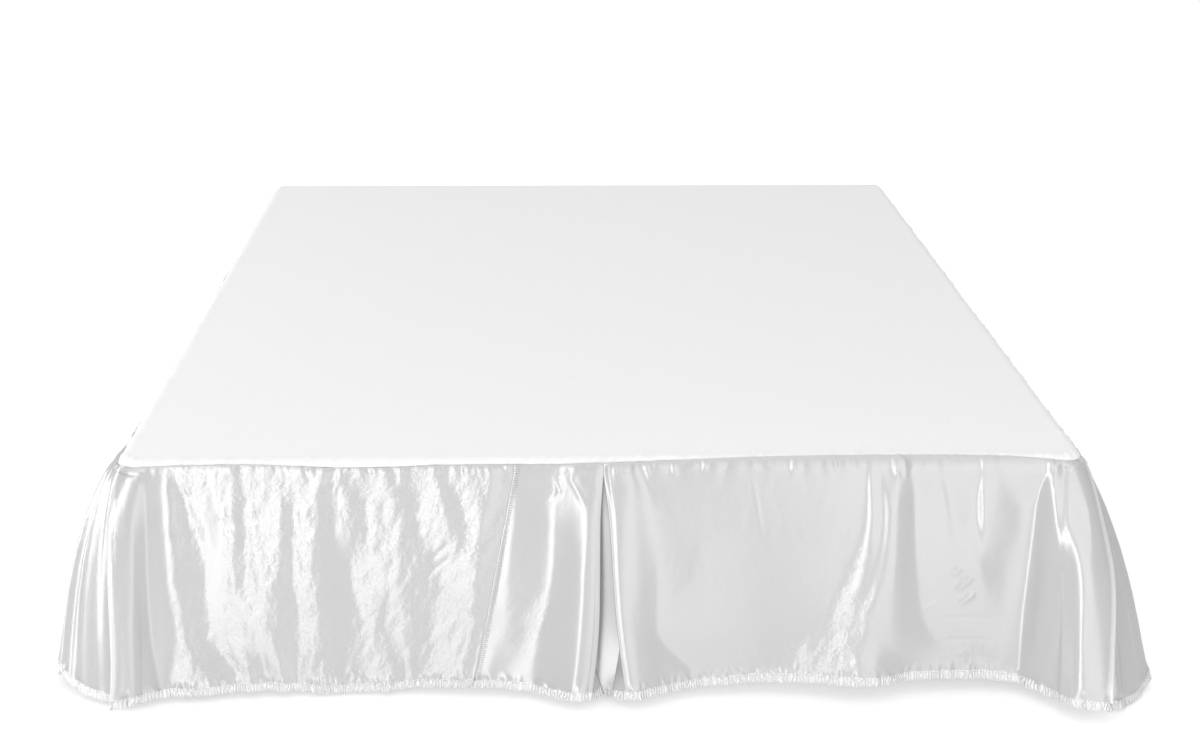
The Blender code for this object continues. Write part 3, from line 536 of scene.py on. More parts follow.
# Each pair holds the bounds of a random draw: a share of the value before it, or for leans a slope
gathers = {
    "spacing": 0.0095, "spacings": (0.5, 1.6), "height": 0.0012, "heights": (0.3, 1.4),
    "width": 0.0030, "widths": (0.7, 1.6), "length": 0.022, "lengths": (0.4, 1.5),
    "leans": (-0.35, 0.35), "startReach": 0.004, "startShare": 0.2, "seed": 4,
    "lift": 0.0022, "fullAt": 0.006, "goneAt": 0.070,
}
hemPuckers = {
    "spacing": 0.0070, "spacings": (0.5, 1.5), "height": 0.0028, "heights": (-0.9, 1.2),
    "width": 0.0028, "widths": (0.7, 1.5), "leans": (-0.5, 0.9),
    "reach": 0.03, "middle": 0.007, "above": 0.009, "seed": 9,
}
crumples = {
    # height, across, down, seed
    "layers": [(0.00065, 0.014, 0.026, 12), (0.00034, 0.0075, 0.011, 13)],
    "lean": 0.25, "edgeFade": 0.02, "left": 0.9, "right": 0.18, "sides": 0.4,
    "hem": 1.3, "hemReach": 0.022, "hemFade": 0.008,
    "patches": [
        # at, mm below, half width, half height, strength
        (0.35, 340, 0.060, 50, 1.5), (0.385, 280, 0.036, 65, 1.4), (0.40, 180, 0.020, 60, 0.6),
        (0.60, 335, 0.030, 28, 1.4), (-0.08, 250, 0.050, 90, 0.6), (-0.07, 30, 0.030, 30, 0.6),
    ],
    "smoothing": 0.85,
    "smooth": [
        # at, mm below, half width, half height
        (-0.71, 190, 0.040, 400), (-0.415, 200, 0.030, 130), (-0.61, 150, 0.016, 120),
    ],
}
creaseEnds = {"reach": 0.35, "start": 0.05}  # how a crease fades out, as shares of its length


def creaseRelief(creases, at, below):  # the finer creases, in metres out of the cloth
    relief = np.zeros_like(below)
    for line, height, width in creases:
        length = sum(math.dist(a, b) for a, b in zip(line, line[1:]))
        nearest = np.full(below.shape, 1e9)
        run = np.zeros_like(below)
        walked = 0.0
        for (x0, y0), (x1, y1) in zip(line, line[1:]):
            step = math.dist((x0, y0), (x1, y1))
            across = (x1 - x0) / step
            down = (y1 - y0) / step
            dx = at * 1000 - x0
            dy = below * 1000 - y0
            share = np.clip(dx * across + dy * down, 0, step)
            away = np.hypot(dx - across * share, dy - down * share)
            closer = away < nearest
            nearest = np.where(closer, away, nearest)
            run = np.where(closer, walked + share, run)
            walked += step
        ends = ease(np.minimum(run, length - run) / (creaseEnds["reach"] * length) + creaseEnds["start"])
        relief += height / 1000 * np.exp(-((nearest / width) ** 2)) * ends
    return relief


def wantedTurn(lines, below):  # the turns' table read at one height: places in m, turns in radians
    places, turns = (
        np.array([smoothRead(list(zip(turnHeights, line[part])), below, 1) for line in lines])
        for part in (0, 1)
    )
    return places / 1000, np.radians(turns)


def softened(values, step, reach):  # values along the first axis, blurred over a reach
    half = int(3 * reach / step)
    kernel = np.exp(-0.5 * (np.arange(-half, half + 1) * step / reach) ** 2)
    kernel /= kernel.sum()
    padded = np.pad(values, ((half, half), (0, 0)), mode="reflect", reflect_type="even")
    return np.apply_along_axis(lambda column: np.convolve(column, kernel, "valid"), 0, padded)


turning = {
    "step": 0.002, "level": 0.075, "settle": 0.045, "top": 0.010, "apart": 0.00001,
    "ends": 0.006, "mostTurn": 1.1, "mostAtTop": 0.004, "moreBelow": 0.12,
}


def turnedRelief(lines, start, end, pleatEnd):
    # the relief that turns one half of the front as its table says, without moving its hem line
    at = np.linspace(start, end, round((end - start) / turning["step"]) + 1)
    points, below = plainColumns(frontHem, [], at)
    normal = gridNormals(points)[0]
    baseTurn = np.arctan2(-normal[..., 0], -normal[..., 1])
    baseTurn = np.clip(baseTurn, -turning["mostTurn"], turning["mostTurn"])
    ends = turning["ends"]
    rise = np.zeros_like(below)
    for row in range(below.shape[1]):
        places, turns = wantedTurn(lines, (below[:, row] * 1000).mean())
        places = np.maximum.accumulate(places) + turning["apart"] * np.arange(len(lines))
        wanted = smoothRead(list(zip(places, turns)), at, 1)
        inside = ease((at - places[0]) / ends + 1) * ease((places[-1] - at) / ends + 1)
        slope = (np.tan(wanted) - np.tan(baseTurn[:, row])) * inside
        run = np.linalg.norm(np.gradient(points[:, row], axis=0), axis=-1)
        rise[:, row] = np.cumsum(slope * run)
    rise -= rise[:1] if pleatEnd == start else rise[-1:]
    fromPleat = np.abs(at - pleatEnd)[:, None]
    settled = 1 - np.exp(-((fromPleat / turning["settle"]) ** 2))
    rise -= softened(rise, turning["step"], turning["level"]) * settled
    most = turning["mostAtTop"] + turning["moreBelow"] * below
    rise = np.where(rise > 0, most * np.tanh(rise / most), rise)
    return at, rise * ease(below / turning["top"])


def crumpleAmount(base, at, below, hemBelow):  # how crumpled the satin is, place by place
    def away(middle, low, width, height):
        return ((at - middle) / width) ** 2 + ((below * 1000 - low) / height) ** 2

    amount = base * np.ones_like(below)
    for *patch, strength in crumples["patches"]:
        amount = np.maximum(amount, strength * np.exp(-away(*patch)))
    for patch in crumples["smooth"]:
        amount = amount * (1 - crumples["smoothing"] * np.exp(-(away(*patch) ** 2)))
    nearHem = ease((below - hemBelow + crumples["hemReach"]) / crumples["hemFade"])
    return np.maximum(amount, crumples["hem"] * nearHem)


def crumpleRelief(amount, at, below, hemBelow):
    relief = np.zeros_like(below)
    for height, across, down, seed in crumples["layers"]:
        relief += height * softNoise(at + crumples["lean"] * below, below, across, down, seed)
    fade = crumples["edgeFade"]
    return relief * amount * ease(below / fade) * ease((hemBelow - below) / fade)


def readTurned(half, at):  # one half's relief at other places along the seam
    places, rise = half
    return np.stack([np.interp(at, places, rise[:, row]) for row in range(rise.shape[1])], -1)


def gatherRelief(at, below):  # small random folds that start in the seam
    rng = np.random.default_rng(gathers["seed"])
    relief = np.zeros_like(below)
    middle = at.min() + gathers["spacing"] / 2
    while middle < at.max():
        length = gathers["length"] * rng.uniform(*gathers["lengths"])
        height = gathers["height"] * rng.uniform(*gathers["heights"]) * rng.choice([-1, 1])
        width = gathers["width"] * rng.uniform(*gathers["widths"])
        lean = rng.uniform(*gathers["leans"])
        off = (at - middle - lean * below) / (width * (1 + below / length))
        start = ease(below / gathers["startReach"] + gathers["startShare"])
        relief += height * np.exp(-off * off) * start * np.exp(-((below / length) ** 2))
        middle += gathers["spacing"] * rng.uniform(*gathers["spacings"])
    return relief


def hemRelief(at, below, hemBelow):  # the hem's turned cloth draws up in small slanted puckers
    rng = np.random.default_rng(hemPuckers["seed"])
    relief = np.zeros_like(below)
    fromTop = below - (hemBelow - skirt["hemDepth"])
    near = np.exp(-((np.minimum(fromTop, 0) / hemPuckers["above"]) ** 2))
    middle = at.min()
    while middle < at.max():
        height = hemPuckers["height"] * rng.uniform(*hemPuckers["heights"])
        width = hemPuckers["width"] * rng.uniform(*hemPuckers["widths"])
        lean = rng.uniform(*hemPuckers["leans"])
        close = np.abs(at - middle) < hemPuckers["reach"]
        off = (at - middle - lean * (fromTop - hemPuckers["middle"])) / width
        relief += np.where(close, height * np.exp(-off * off), 0) * near
        middle += hemPuckers["spacing"] * rng.uniform(*hemPuckers["spacings"])
    return relief


def gridQuads(index):  # the faces of a grid of vertex numbers
    return np.stack([index[:-1, :-1], index[:-1, 1:], index[1:, 1:], index[1:, :-1]], -1).reshape(-1, 4)


def sheetMesh(name, points, thick, uvs, floats):
    # a closed sheet from the grid of its middle surface, its edges rounded off
    normal, across, down = gridNormals(points)
    half = (thick / 2)[..., None]
    columns, rows = points.shape[:2]
    count = columns * rows
    edge = np.zeros_like(points)
    edge[:, 0] -= down[:, 0]
    edge[:, -1] += down[:, -1]
    edge[0] -= across[0]
    edge[-1] += across[-1]
    index = np.arange(count).reshape(columns, rows)
    ring = np.concatenate([index[:-1, 0], index[-1, :-1], index[:0:-1, -1], index[0, :0:-1]])
    rim = edge.reshape(-1, 3)[ring]
    rim /= np.linalg.norm(rim, axis=1, keepdims=True)
    rimPoints = points.reshape(-1, 3)[ring] + rim * thick.reshape(-1)[ring, None] * skirt["rimShare"]
    outer = (points + normal * half).reshape(-1, 3)
    inner = (points - normal * half).reshape(-1, 3)
    vertices = np.concatenate([outer, inner, rimPoints])
    quads = gridQuads(index)
    following = np.roll(np.arange(len(ring)), -1)
    rimIndex = 2 * count + np.arange(len(ring))
    outerRim = np.stack([ring, ring[following], rimIndex[following], rimIndex], -1)
    innerRim = np.stack([rimIndex, rimIndex[following], count + ring[following], count + ring], -1)
    faces = np.concatenate([quads, (count + quads)[:, ::-1], outerRim, innerRim])
    mesh = bpy.data.meshes.new(name)
    mesh.from_pydata(vertices.tolist(), [], faces.tolist())
    owner = np.concatenate([np.arange(count), np.arange(count), ring])
    layer = mesh.uv_layers.new(name="cloth")
    loops = np.zeros(len(mesh.loops), int)
    mesh.loops.foreach_get("vertex_index", loops)
    layer.data.foreach_set("uv", uvs.reshape(-1, 2)[owner][loops].astype(np.float32).ravel())
    for label, values in floats.items():
        attribute = mesh.attributes.new(label, "FLOAT", "POINT")
        attribute.data.foreach_set("value", values.reshape(-1)[owner].astype(np.float32))
    mesh.shade_smooth()
    return mesh


def newObject(name, data):
    made = bpy.data.objects.new(name, data)
    bpy.context.scene.collection.objects.link(made)
    return made


def finishedMesh(carrier, name):  # what the carrier's modifiers make of its mesh, without the carrier
    made = bpy.data.meshes.new_from_object(carrier.evaluated_get(bpy.context.evaluated_depsgraph_get()))
    bare = carrier.data
    bpy.data.objects.remove(carrier, do_unlink=True)
    bpy.data.meshes.remove(bare)
    made.name = name
    return made


def addPiece(name, mesh, material, slot, *nodes):
    piece = newObject(name, mesh)
    mesh.materials.clear()
    mesh.materials.append(material)
    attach(piece, "root")
    if nodes:
        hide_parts(*nodes)
    return piece


def addNode(tree, kind, output=None, values=None, **settings):  # gives one output, or else the node
    node = tree.nodes.new(kind)
    for name, value in settings.items():
        setattr(node, name, value)
    for name, value in (values or {}).items():
        if isinstance(value, bpy.types.NodeSocket):
            tree.links.new(value, node.inputs[name])
        else:
            node.inputs[name].default_value = value
    return node if output is None else node.outputs[output]


def addMath(tree, operation, *values):
    return addNode(tree, "ShaderNodeMath", 0, dict(enumerate(values)), operation=operation)


def addBands(tree, vector, scale, way, shape):
    values = {"Vector": vector, "Scale": scale, **shape}
    return addNode(tree, "ShaderNodeTexWave", "Fac", values, wave_type="BANDS", bands_direction=way)


def bandScale(spacing):  # the wave texture's scale for bands this many metres apart
    return 2 * math.pi / (20 * spacing)


def addBump(tree, height, depth, strength, normal=None):
    values = {"Height": height, "Distance": depth, "Strength": strength}
    if normal is not None:
        values["Normal"] = normal
    return addNode(tree, "ShaderNodeBump", "Normal", values)


def addMix(tree, share, first, second):  # the first colour at 0, the second at 1
    mix = addNode(tree, "ShaderNodeMix", None, {"Factor": share}, data_type="RGBA")
    mix.inputs["A"].default_value = (*first, 1)
    mix.inputs["B"].default_value = (*second, 1)
    return mix.outputs["Result"]


def newMaterial(name, look):
    material = bpy.data.materials.new(name)
    material.use_nodes = True
    shader = material.node_tree.nodes["Principled BSDF"]
    shader.inputs["Base Color"].default_value = (*look["base"], 1)
    shader.inputs["Roughness"].default_value = look["roughness"]
    material.diffuse_color = (*look["base"], 1)
    return material, material.node_tree, shader


satinLook = {
    "base": (0.61, 0.61, 0.61),
    "hemPaintedLighter": (0.82, 0.82, 0.82),  # the hem is painted lighter: painted light standing in for less of the shaded inside showing through its three layers
    "roughness": 0.42, "metallic": 0.50, "anisotropic": 0.95,
    "glossTurn": 0.25,  # a quarter turn, so that the gloss spreads down the cloth
    "threads": 0.0006, "threadDepth": 0.0002, "threadBump": 0.04,
    "threadWaves": {"Distortion": 1.5, "Detail": 1.0, "Detail Scale": 0.2},
    "crumpleDepth": 0.0012, "crumpleBump": 0.75,
    "crumpleNoise": {"Scale": 165, "Detail": 3.0, "Roughness": 0.55},
    "pucker": 0.0048, "puckerDepth": 0.0014, "puckerBump": 0.7,
    "puckerWaves": {"Distortion": 6.0, "Detail": 2.0, "Detail Scale": 1.5},
}


def satinMaterial():
    material, tree, shader = newMaterial("white satin", satinLook)
    shader.inputs["Metallic"].default_value = satinLook["metallic"]
    shader.inputs["Anisotropic"].default_value = satinLook["anisotropic"]
    shader.inputs["Anisotropic Rotation"].default_value = satinLook["glossTurn"]
    uv = addNode(tree, "ShaderNodeUVMap", "UV", uv_map="cloth")
    tangent = addNode(tree, "ShaderNodeTangent", "Tangent", direction_type="UV_MAP", uv_map="cloth")
    tree.links.new(tangent, shader.inputs["Tangent"])
    crumple, drawn, hem = (
        addNode(tree, "ShaderNodeAttribute", "Fac", attribute_name=name)
        for name in ("crumple", "drawn", "hem")
    )
    crumpled = addNode(tree, "ShaderNodeTexNoise", "Fac", {"Vector": uv, **satinLook["crumpleNoise"]})
    strength = addMath(tree, "MULTIPLY", crumple, satinLook["crumpleBump"])
    normal = addBump(tree, crumpled, satinLook["crumpleDepth"], strength)
    puckered = addBands(tree, uv, bandScale(satinLook["pucker"]), "X", satinLook["puckerWaves"])
    strength = addMath(tree, "MULTIPLY", drawn, satinLook["puckerBump"])
    normal = addBump(tree, puckered, satinLook["puckerDepth"], strength, normal)
    woven = addBands(tree, uv, bandScale(satinLook["threads"]), "Y", satinLook["threadWaves"])
    normal = addBump(tree, woven, satinLook["threadDepth"], satinLook["threadBump"], normal)
    tree.links.new(normal, shader.inputs["Normal"])
    # painted light: the hem is coloured lighter than the single satin, standing in for less shade showing
    # through from inside
    colour = addMix(tree, hem, satinLook["base"], satinLook["hemPaintedLighter"])
    tree.links.new(colour, shader.inputs["Base Color"])
    return material


deckLook = {
    "base": (0.84, 0.84, 0.845), "roughness": 0.92, "sheen": 0.08, "depth": 0.0003, "bump": 0.25,
    "threads": 0.0011, "threadWaves": {"Distortion": 0.8, "Detail": 1.0},
    "slubs": 0.15, "slubNoise": {"Scale": 60.0, "Detail": 4.0},
}


def deckMaterial():
    material, tree, shader = newMaterial("white deck cloth", deckLook)
    shader.inputs["Sheen Weight"].default_value = deckLook["sheen"]
    where = addNode(tree, "ShaderNodeTexCoord", "Object")
    scale = bandScale(deckLook["threads"])
    woven = addMath(
        tree, "MAXIMUM", *(addBands(tree, where, scale, way, deckLook["threadWaves"]) for way in "XY")
    )
    slubs = addNode(tree, "ShaderNodeTexNoise", "Fac", {"Vector": where, **deckLook["slubNoise"]})
    height = addMath(tree, "MULTIPLY_ADD", slubs, deckLook["slubs"], woven)
    tree.links.new(addBump(tree, height, deckLook["depth"], deckLook["bump"]), shader.inputs["Normal"])
    return material


baseLook = {
    "base": (0.55, 0.54, 0.52), "roughness": 0.9, "depth": 0.0006, "bump": 0.5,
    "threadScale": 160.0, "threadWaves": {"Distortion": 1.2, "Detail": 1.0},
    "dark": (0.30, 0.29, 0.28), "light": (0.58, 0.57, 0.55),
    "shade": {"From Min": 0.4, "From Max": 2.4, "To Min": 0.8, "To Max": 1.0},
}


def baseMaterial():
    material, tree, shader = newMaterial("base cloth", baseLook)
    where = addNode(tree, "ShaderNodeTexCoord", "Object")
    x, y, z = (addBands(tree, where, baseLook["threadScale"], way, baseLook["threadWaves"]) for way in "XYZ")
    woven = addMath(tree, "ADD", addMath(tree, "ADD", x, y), z)
    shade = addNode(tree, "ShaderNodeMapRange", 0, {"Value": woven, **baseLook["shade"]})
    colour = addMix(tree, shade, baseLook["dark"], baseLook["light"])
    tree.links.new(colour, shader.inputs["Base Color"])
    tree.links.new(addBump(tree, woven, baseLook["depth"], baseLook["bump"]), shader.inputs["Normal"])
    return material


woodLook = {
    "base": (0.20, 0.12, 0.07), "roughness": 0.5, "depth": 0.0005, "bump": 0.4,
    "stretch": (60.0, 60.0, 4.0), "grainNoise": {"Scale": 1.0, "Detail": 6.0, "Distortion": 0.6},
    "stops": [(0.3, (0.11, 0.06, 0.03)), (0.7, (0.27, 0.16, 0.09))],
}


def woodMaterial():
    material, tree, shader = newMaterial("leg wood", woodLook)
    where = addNode(tree, "ShaderNodeTexCoord", "Object")
    stretched = addNode(tree, "ShaderNodeMapping", "Vector", {"Vector": where, "Scale": woodLook["stretch"]})
    grain = addNode(tree, "ShaderNodeTexNoise", "Fac", {"Vector": stretched, **woodLook["grainNoise"]})
    ramp = addNode(tree, "ShaderNodeValToRGB", None, {"Fac": grain})
    for stop, (position, colour) in zip(ramp.color_ramp.elements, woodLook["stops"]):
        stop.position = position
        stop.color = (*colour, 1)
    tree.links.new(ramp.outputs["Color"], shader.inputs["Base Color"])
    tree.links.new(addBump(tree, grain, woodLook["depth"], woodLook["bump"]), shader.inputs["Normal"])
    return material


satin = satinMaterial()
deckCloth = deckMaterial()
finishes = {"bed_base": baseMaterial()}
finishes |= dict.fromkeys([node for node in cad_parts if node.startswith("leg_")], woodMaterial())
for node, finish in finishes.items():
    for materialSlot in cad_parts[node].material_slots:
        materialSlot.material = finish
print("materials made")


panels = {
    # node: hem table, folds, creases, crumple, stretches of seam with their steps, hemmed ends
    "side_skirt_left": (
        leftSideHem, leftSideFolds, [], crumples["sides"],
        [(-headEnd, -skirt["sideFrom"], skirt["sideStep"]),
         (-skirt["sideFrom"], skirt["leftSplitAt"] - skirt["splitGap"], skirt["frontStep"])],
        (True, True),
    ),
    "front_skirt_left": (
        frontHem, [], frontCreases, crumples["left"],
        [(skirt["leftSplitAt"], skirt["leftCornerTo"], skirt["cornerStep"]),
         (skirt["leftCornerTo"], skirt["joinSeamAt"] - skirt["seatGap"], skirt["frontStep"])],
        (True, False),
    ),
    "front_skirt_right": (
        frontHem, [], frontCreases, crumples["right"],
        [(skirt["joinSeamAt"] + skirt["seatGap"], -pleat["fineReach"], skirt["frontStep"]),
         (-pleat["fineReach"], -pleat["edge"], skirt["creaseStep"]),
         (pleat["edge"], pleat["fineReach"], skirt["creaseStep"]),
         (pleat["fineReach"], skirt["rightCornerFrom"], skirt["frontStep"]),
         (skirt["rightCornerFrom"], skirt["rightSplitAt"], skirt["cornerStep"])],
        (False, True),
    ),
    "side_skirt_right": (
        rightSideHem, rightSideFolds, [], crumples["sides"],
        [(skirt["rightSplitAt"] + skirt["splitGap"], skirt["sideFrom"], skirt["frontStep"]),
         (skirt["sideFrom"], headEnd, skirt["sideStep"])],
        (True, True),
    ),
}


def joinedPlaces(stretches):  # a place for each column, with none twice where two stretches meet
    runs = [spread(*stretch) for stretch in stretches]
    kept = [runs[0]]
    for before, after in zip(runs, runs[1:]):
        kept.append(after[1:] if abs(before[-1] - after[0]) < 1e-6 else after)
    return np.concatenate(kept)


leftHalf = turnedRelief(leftTurns, skirt["leftSplitAt"], -pleat["edge"], -pleat["edge"])
rightHalf = turnedRelief(rightTurns, pleat["edge"], skirt["rightSplitAt"], pleat["edge"])
for side, (_, rise) in (("left", leftHalf), ("right", rightHalf)):
    low, high = (1000 * float(end) for end in (rise.min(), rise.max()))
    print(side, "half of the front turned, relief %.1f to %.1f mm" % (low, high))


def panelGrid(node):
    hem, folds, creases, crumple, stretches, hemmed = panels[node]
    at = joinedPlaces(stretches)
    if at[0] < 0 < at[-1]:  # the pleat is in this panel
        before = at[at < 0]
        after = at[at > 0]
        parts = [plainColumns(hem, folds, before), pleatColumns(), plainColumns(hem, folds, after)]
        grid, below = (np.concatenate(values) for values in zip(*parts))
        at = np.concatenate([before, np.zeros(len(parts[1][0])), after])
    else:
        grid, below = plainColumns(hem, folds, at)
    onTop = np.clip((np.abs(at) - pleat["edge"]) / pleat["freeReach"], 0, 1)  # none inside the pleat
    grid = eased(grid)
    normal = gridNormals(grid)[0]
    wide = at[:, None] * np.ones_like(below)
    hemBelow = below[:, -1:]
    amount = crumpleAmount(crumple, wide, below, hemBelow)
    relief = creaseRelief(creases, wide, below) + gatherRelief(wide, below)
    relief += hemRelief(wide, below, hemBelow)
    relief += crumpleRelief(amount, wide, below, hemBelow)
    if hem is frontHem:
        relief += np.where(wide < 0, readTurned(leftHalf, at), readTurned(rightHalf, at))
    relief += gathers["lift"] * ease(below / gathers["fullAt"]) * (1 - ease(below / gathers["goneAt"]))
    relief = heldOut(relief, clearOf(hem, folds, at))
    grid = grid + normal * (relief * onTop[:, None])[..., None]
    grid[..., 2] = np.maximum(grid[..., 2], skirt["hemThickness"])  # a pucker never dips into the floor
    steps = np.linalg.norm(np.diff(grid, axis=0), axis=-1).mean(1)
    run = np.concatenate([[0.0], np.cumsum(steps)])
    uvs = np.stack([run[:, None] * np.ones_like(below), -below], -1)
    inHem = below > hemBelow - skirt["hemDepth"] - skirt["hemMargin"]
    drawn = inHem.astype(float)
    for end, isHemmed in zip((0.0, run[-1]), hemmed):
        if isHemmed:
            inHem = inHem | (np.abs(run - end) < skirt["sideHem"])[:, None]
    return {
        "points": grid, "thick": np.where(inHem, skirt["hemThickness"], skirt["satin"]), "uvs": uvs,
        "below": below, "run": run, "hemmed": hemmed,
        "crumple": amount, "hem": inHem.astype(float), "drawn": drawn,
    }


grids = {node: panelGrid(node) for node in panels}
for node, grid in grids.items():
    name = node + "_satin"
    floats = {label: grid[label] for label in ("crumple", "hem", "drawn")}
    mesh = sheetMesh(name, grid["points"], grid["thick"], grid["uvs"], floats)
    addPiece(name, mesh, satin, "satin", node)
    hemLength = np.linalg.norm(np.diff(grid["points"][:, -1], axis=0), axis=1).sum()
    print(node, "columns and rows", grid["points"].shape[:2], "hem length %.3f" % hemLength,
          "run %.3f" % grid["run"][-1], "below %.3f" % grid["below"][:, -1].mean())

deckSheet = {
    "cloth": 0.0015, "rollRows": 6, "sideStep": 0.012, "frontStep": 0.0036,
    "grid": 0.014, "margin": 0.006, "fineGrid": 0.0040, "fineMargin": 0.003, "fineDepth": 0.055,
    "borderGap": 0.002, "seed": 21,
    "spacing": 0.014, "spacings": (0.5, 2.0), "height": 0.0030, "heights": (0.1, 1.2),  # of its puckers
    "width": 0.0048, "widths": (0.7, 1.5), "length": 0.026, "lengths": (0.5, 1.3),
    "lean": 0.7, "startReach": 0.006, "reach": 0.09,
    "swell": 0.0012, "swellFade": 0.15,
    "swells": [(1.0, 0.21, 0.16, 21), (0.5, 0.07, 0.09, 5)],  # share, across, down, seed
}


def deckRelief(at, inward):  # how far the deck cloth lifts, by the distance in from its seam
    rng = np.random.default_rng(deckSheet["seed"])
    relief = np.zeros_like(at)
    middle = -headEnd
    while middle < headEnd:
        height = deckSheet["height"] * rng.uniform(*deckSheet["heights"])
        width = deckSheet["width"] * rng.uniform(*deckSheet["widths"])
        length = deckSheet["length"] * rng.uniform(*deckSheet["lengths"])
        off = (at - middle - deckSheet["lean"] * inward) / width
        start = ease(inward / deckSheet["startReach"])
        relief += height * np.exp(-off * off - (inward / length) ** 2) * start
        middle += deckSheet["spacing"] * rng.uniform(*deckSheet["spacings"])
    return relief


def deckEdge(at):  # the deck cloth over the edge roll, from the border of its flat top to the seam
    over = seamOver(at)[:, None]
    roll = bed["edgeRoll"]
    share = np.linspace(0, 1, deckSheet["rollRows"] + 1)
    turn = over * share / roll
    height = bed["height"] - roll * (1 - np.cos(turn))
    wide = at[:, None] * np.ones_like(turn)
    strip = place(wide, roll * (np.sin(turn) - 1), np.zeros_like(turn), height)
    lift = deckRelief(wide, over * (1 - share))
    strip[..., 0] += np.where(np.abs(wide) > cornerEnd, np.sign(wide), 0) * np.sin(turn) * lift
    strip[..., 1] += np.where(np.abs(wide) < cornerStart, -1, 0) * np.sin(turn) * lift
    strip[..., 2] += np.cos(turn) * lift
    return strip


def deckInside(low, high):  # points all over the deck's flat top, closer together along the front
    fineEnd = low[1] + deckSheet["fineDepth"]
    fields = [
        # step, distance in from the edge, front, back
        (deckSheet["grid"], deckSheet["margin"], fineEnd, high[1] - deckSheet["margin"]),
        (deckSheet["fineGrid"], deckSheet["fineMargin"], low[1] + deckSheet["fineMargin"],
         fineEnd - deckSheet["fineMargin"]),
    ]
    found = []
    for step, margin, front, back in fields:
        xs, ys = np.meshgrid(np.arange(low[0] + margin, high[0], step), np.arange(front, back, step))
        found.append(np.stack([xs.ravel(), ys.ravel()], 1))
    inner = np.concatenate(found)
    arc = bed["cornerRadius"] - bed["edgeRoll"]
    dx = np.maximum(np.abs(inner[:, 0] - bedMiddle.x) - (high[0] - low[0]) / 2 + arc, 0)
    dy = np.maximum(low[1] + arc - inner[:, 1], 0)
    return inner[np.hypot(dx, dy) < arc - deckSheet["borderGap"]]


def deckLift(flat, low, high):  # the puckers behind the front seam, and the slow swell of the top
    at = flat[:, 0] - bedMiddle.x
    inward = flat[:, 1] - low[1]
    lift = deckRelief(at, inward + seamOver(at)) * (inward < deckSheet["reach"])
    most = sum(share for share, *_ in deckSheet["swells"])
    swell = sum(share * softNoise(flat[:, 0], flat[:, 1], *cell) for share, *cell in deckSheet["swells"])
    fromEdge = np.minimum(np.minimum(flat[:, 0] - low[0], high[0] - flat[:, 0]), inward)
    fade = ease(fromEdge / deckSheet["swellFade"])
    return lift + deckSheet["swell"] * (swell + most) / (2 * most) * fade


def makeDeck():
    at = np.concatenate([
        [-headEnd - bed["headInset"]], spread(-headEnd, -cornerEnd, deckSheet["sideStep"]),
        spread(-cornerEnd, cornerEnd, deckSheet["frontStep"])[1:-1],
        spread(cornerEnd, headEnd, deckSheet["sideStep"]), [headEnd + bed["headInset"]],
    ])
    strip = deckEdge(at)
    border = strip[:, 0, :2]
    count = len(border)
    low = border.min(0)
    high = border.max(0)
    points = [Vector(point) for point in np.concatenate([border, deckInside(low, high)])]
    edges = [(i, (i + 1) % count) for i in range(count)]
    flat, _, faces, origins, *_ = delaunay_2d_cdt(points, edges, [], 1, 1e-6)
    flat = np.array([(v.x, v.y) for v in flat])
    vertices = np.column_stack([flat, bed["height"] + deckLift(flat, low, high)]).tolist()
    byBorder = {origin[0]: i for i, origin in enumerate(origins) if origin and origin[0] < count}
    rows = deckSheet["rollRows"]
    rolled = len(vertices) + np.arange(count * rows).reshape(count, rows)
    grid = np.column_stack([[byBorder[i] for i in range(count)], rolled])
    vertices += strip[:, 1:].reshape(-1, 3).tolist()
    mesh = bpy.data.meshes.new("deck_top")
    mesh.from_pydata(vertices, [], [list(face) for face in faces] + gridQuads(grid).tolist())
    mesh.shade_smooth()
    carrier = newObject("deck_top", mesh)
    thicken = carrier.modifiers.new("thickness", "SOLIDIFY")
    thicken.thickness = deckSheet["cloth"]
    thicken.offset = -1.0
    thicken.use_even_offset = True
    return finishedMesh(carrier, "deck_sheet")


deckPiece = addPiece("deck_sheet", makeDeck(), deckCloth, "deck_cloth", "deck")
print("deck made, faces", len(deckPiece.data.polygons))

stitching = {
    "hemPitch": 0.0034, "hemStitch": 0.0024, "thread": 0.0007, "hemRow": -4, "sideHemShare": 0.8,
    "ladderPitch": 0.0038, "ladderStitch": 0.0090, "ladderThread": 0.0018, "ladderFrom": 0.0056,
    "firstRow": 2, "ladderLastRow": -5, "uneven": 0.25, "seed": 17,
}
threadLook = {
    "base": (0.50, 0.50, 0.495), "roughness": 0.6, "twistScale": 800.0, "depth": 0.0001, "bump": 0.5,
}


def threadMaterial():
    material, tree, shader = newMaterial("white thread", threadLook)
    where = addNode(tree, "ShaderNodeTexCoord", "Object")
    twist = addBands(tree, where, threadLook["twistScale"], "DIAGONAL", {})
    tree.links.new(addBump(tree, twist, threadLook["depth"], threadLook["bump"]), shader.inputs["Normal"])
    return material


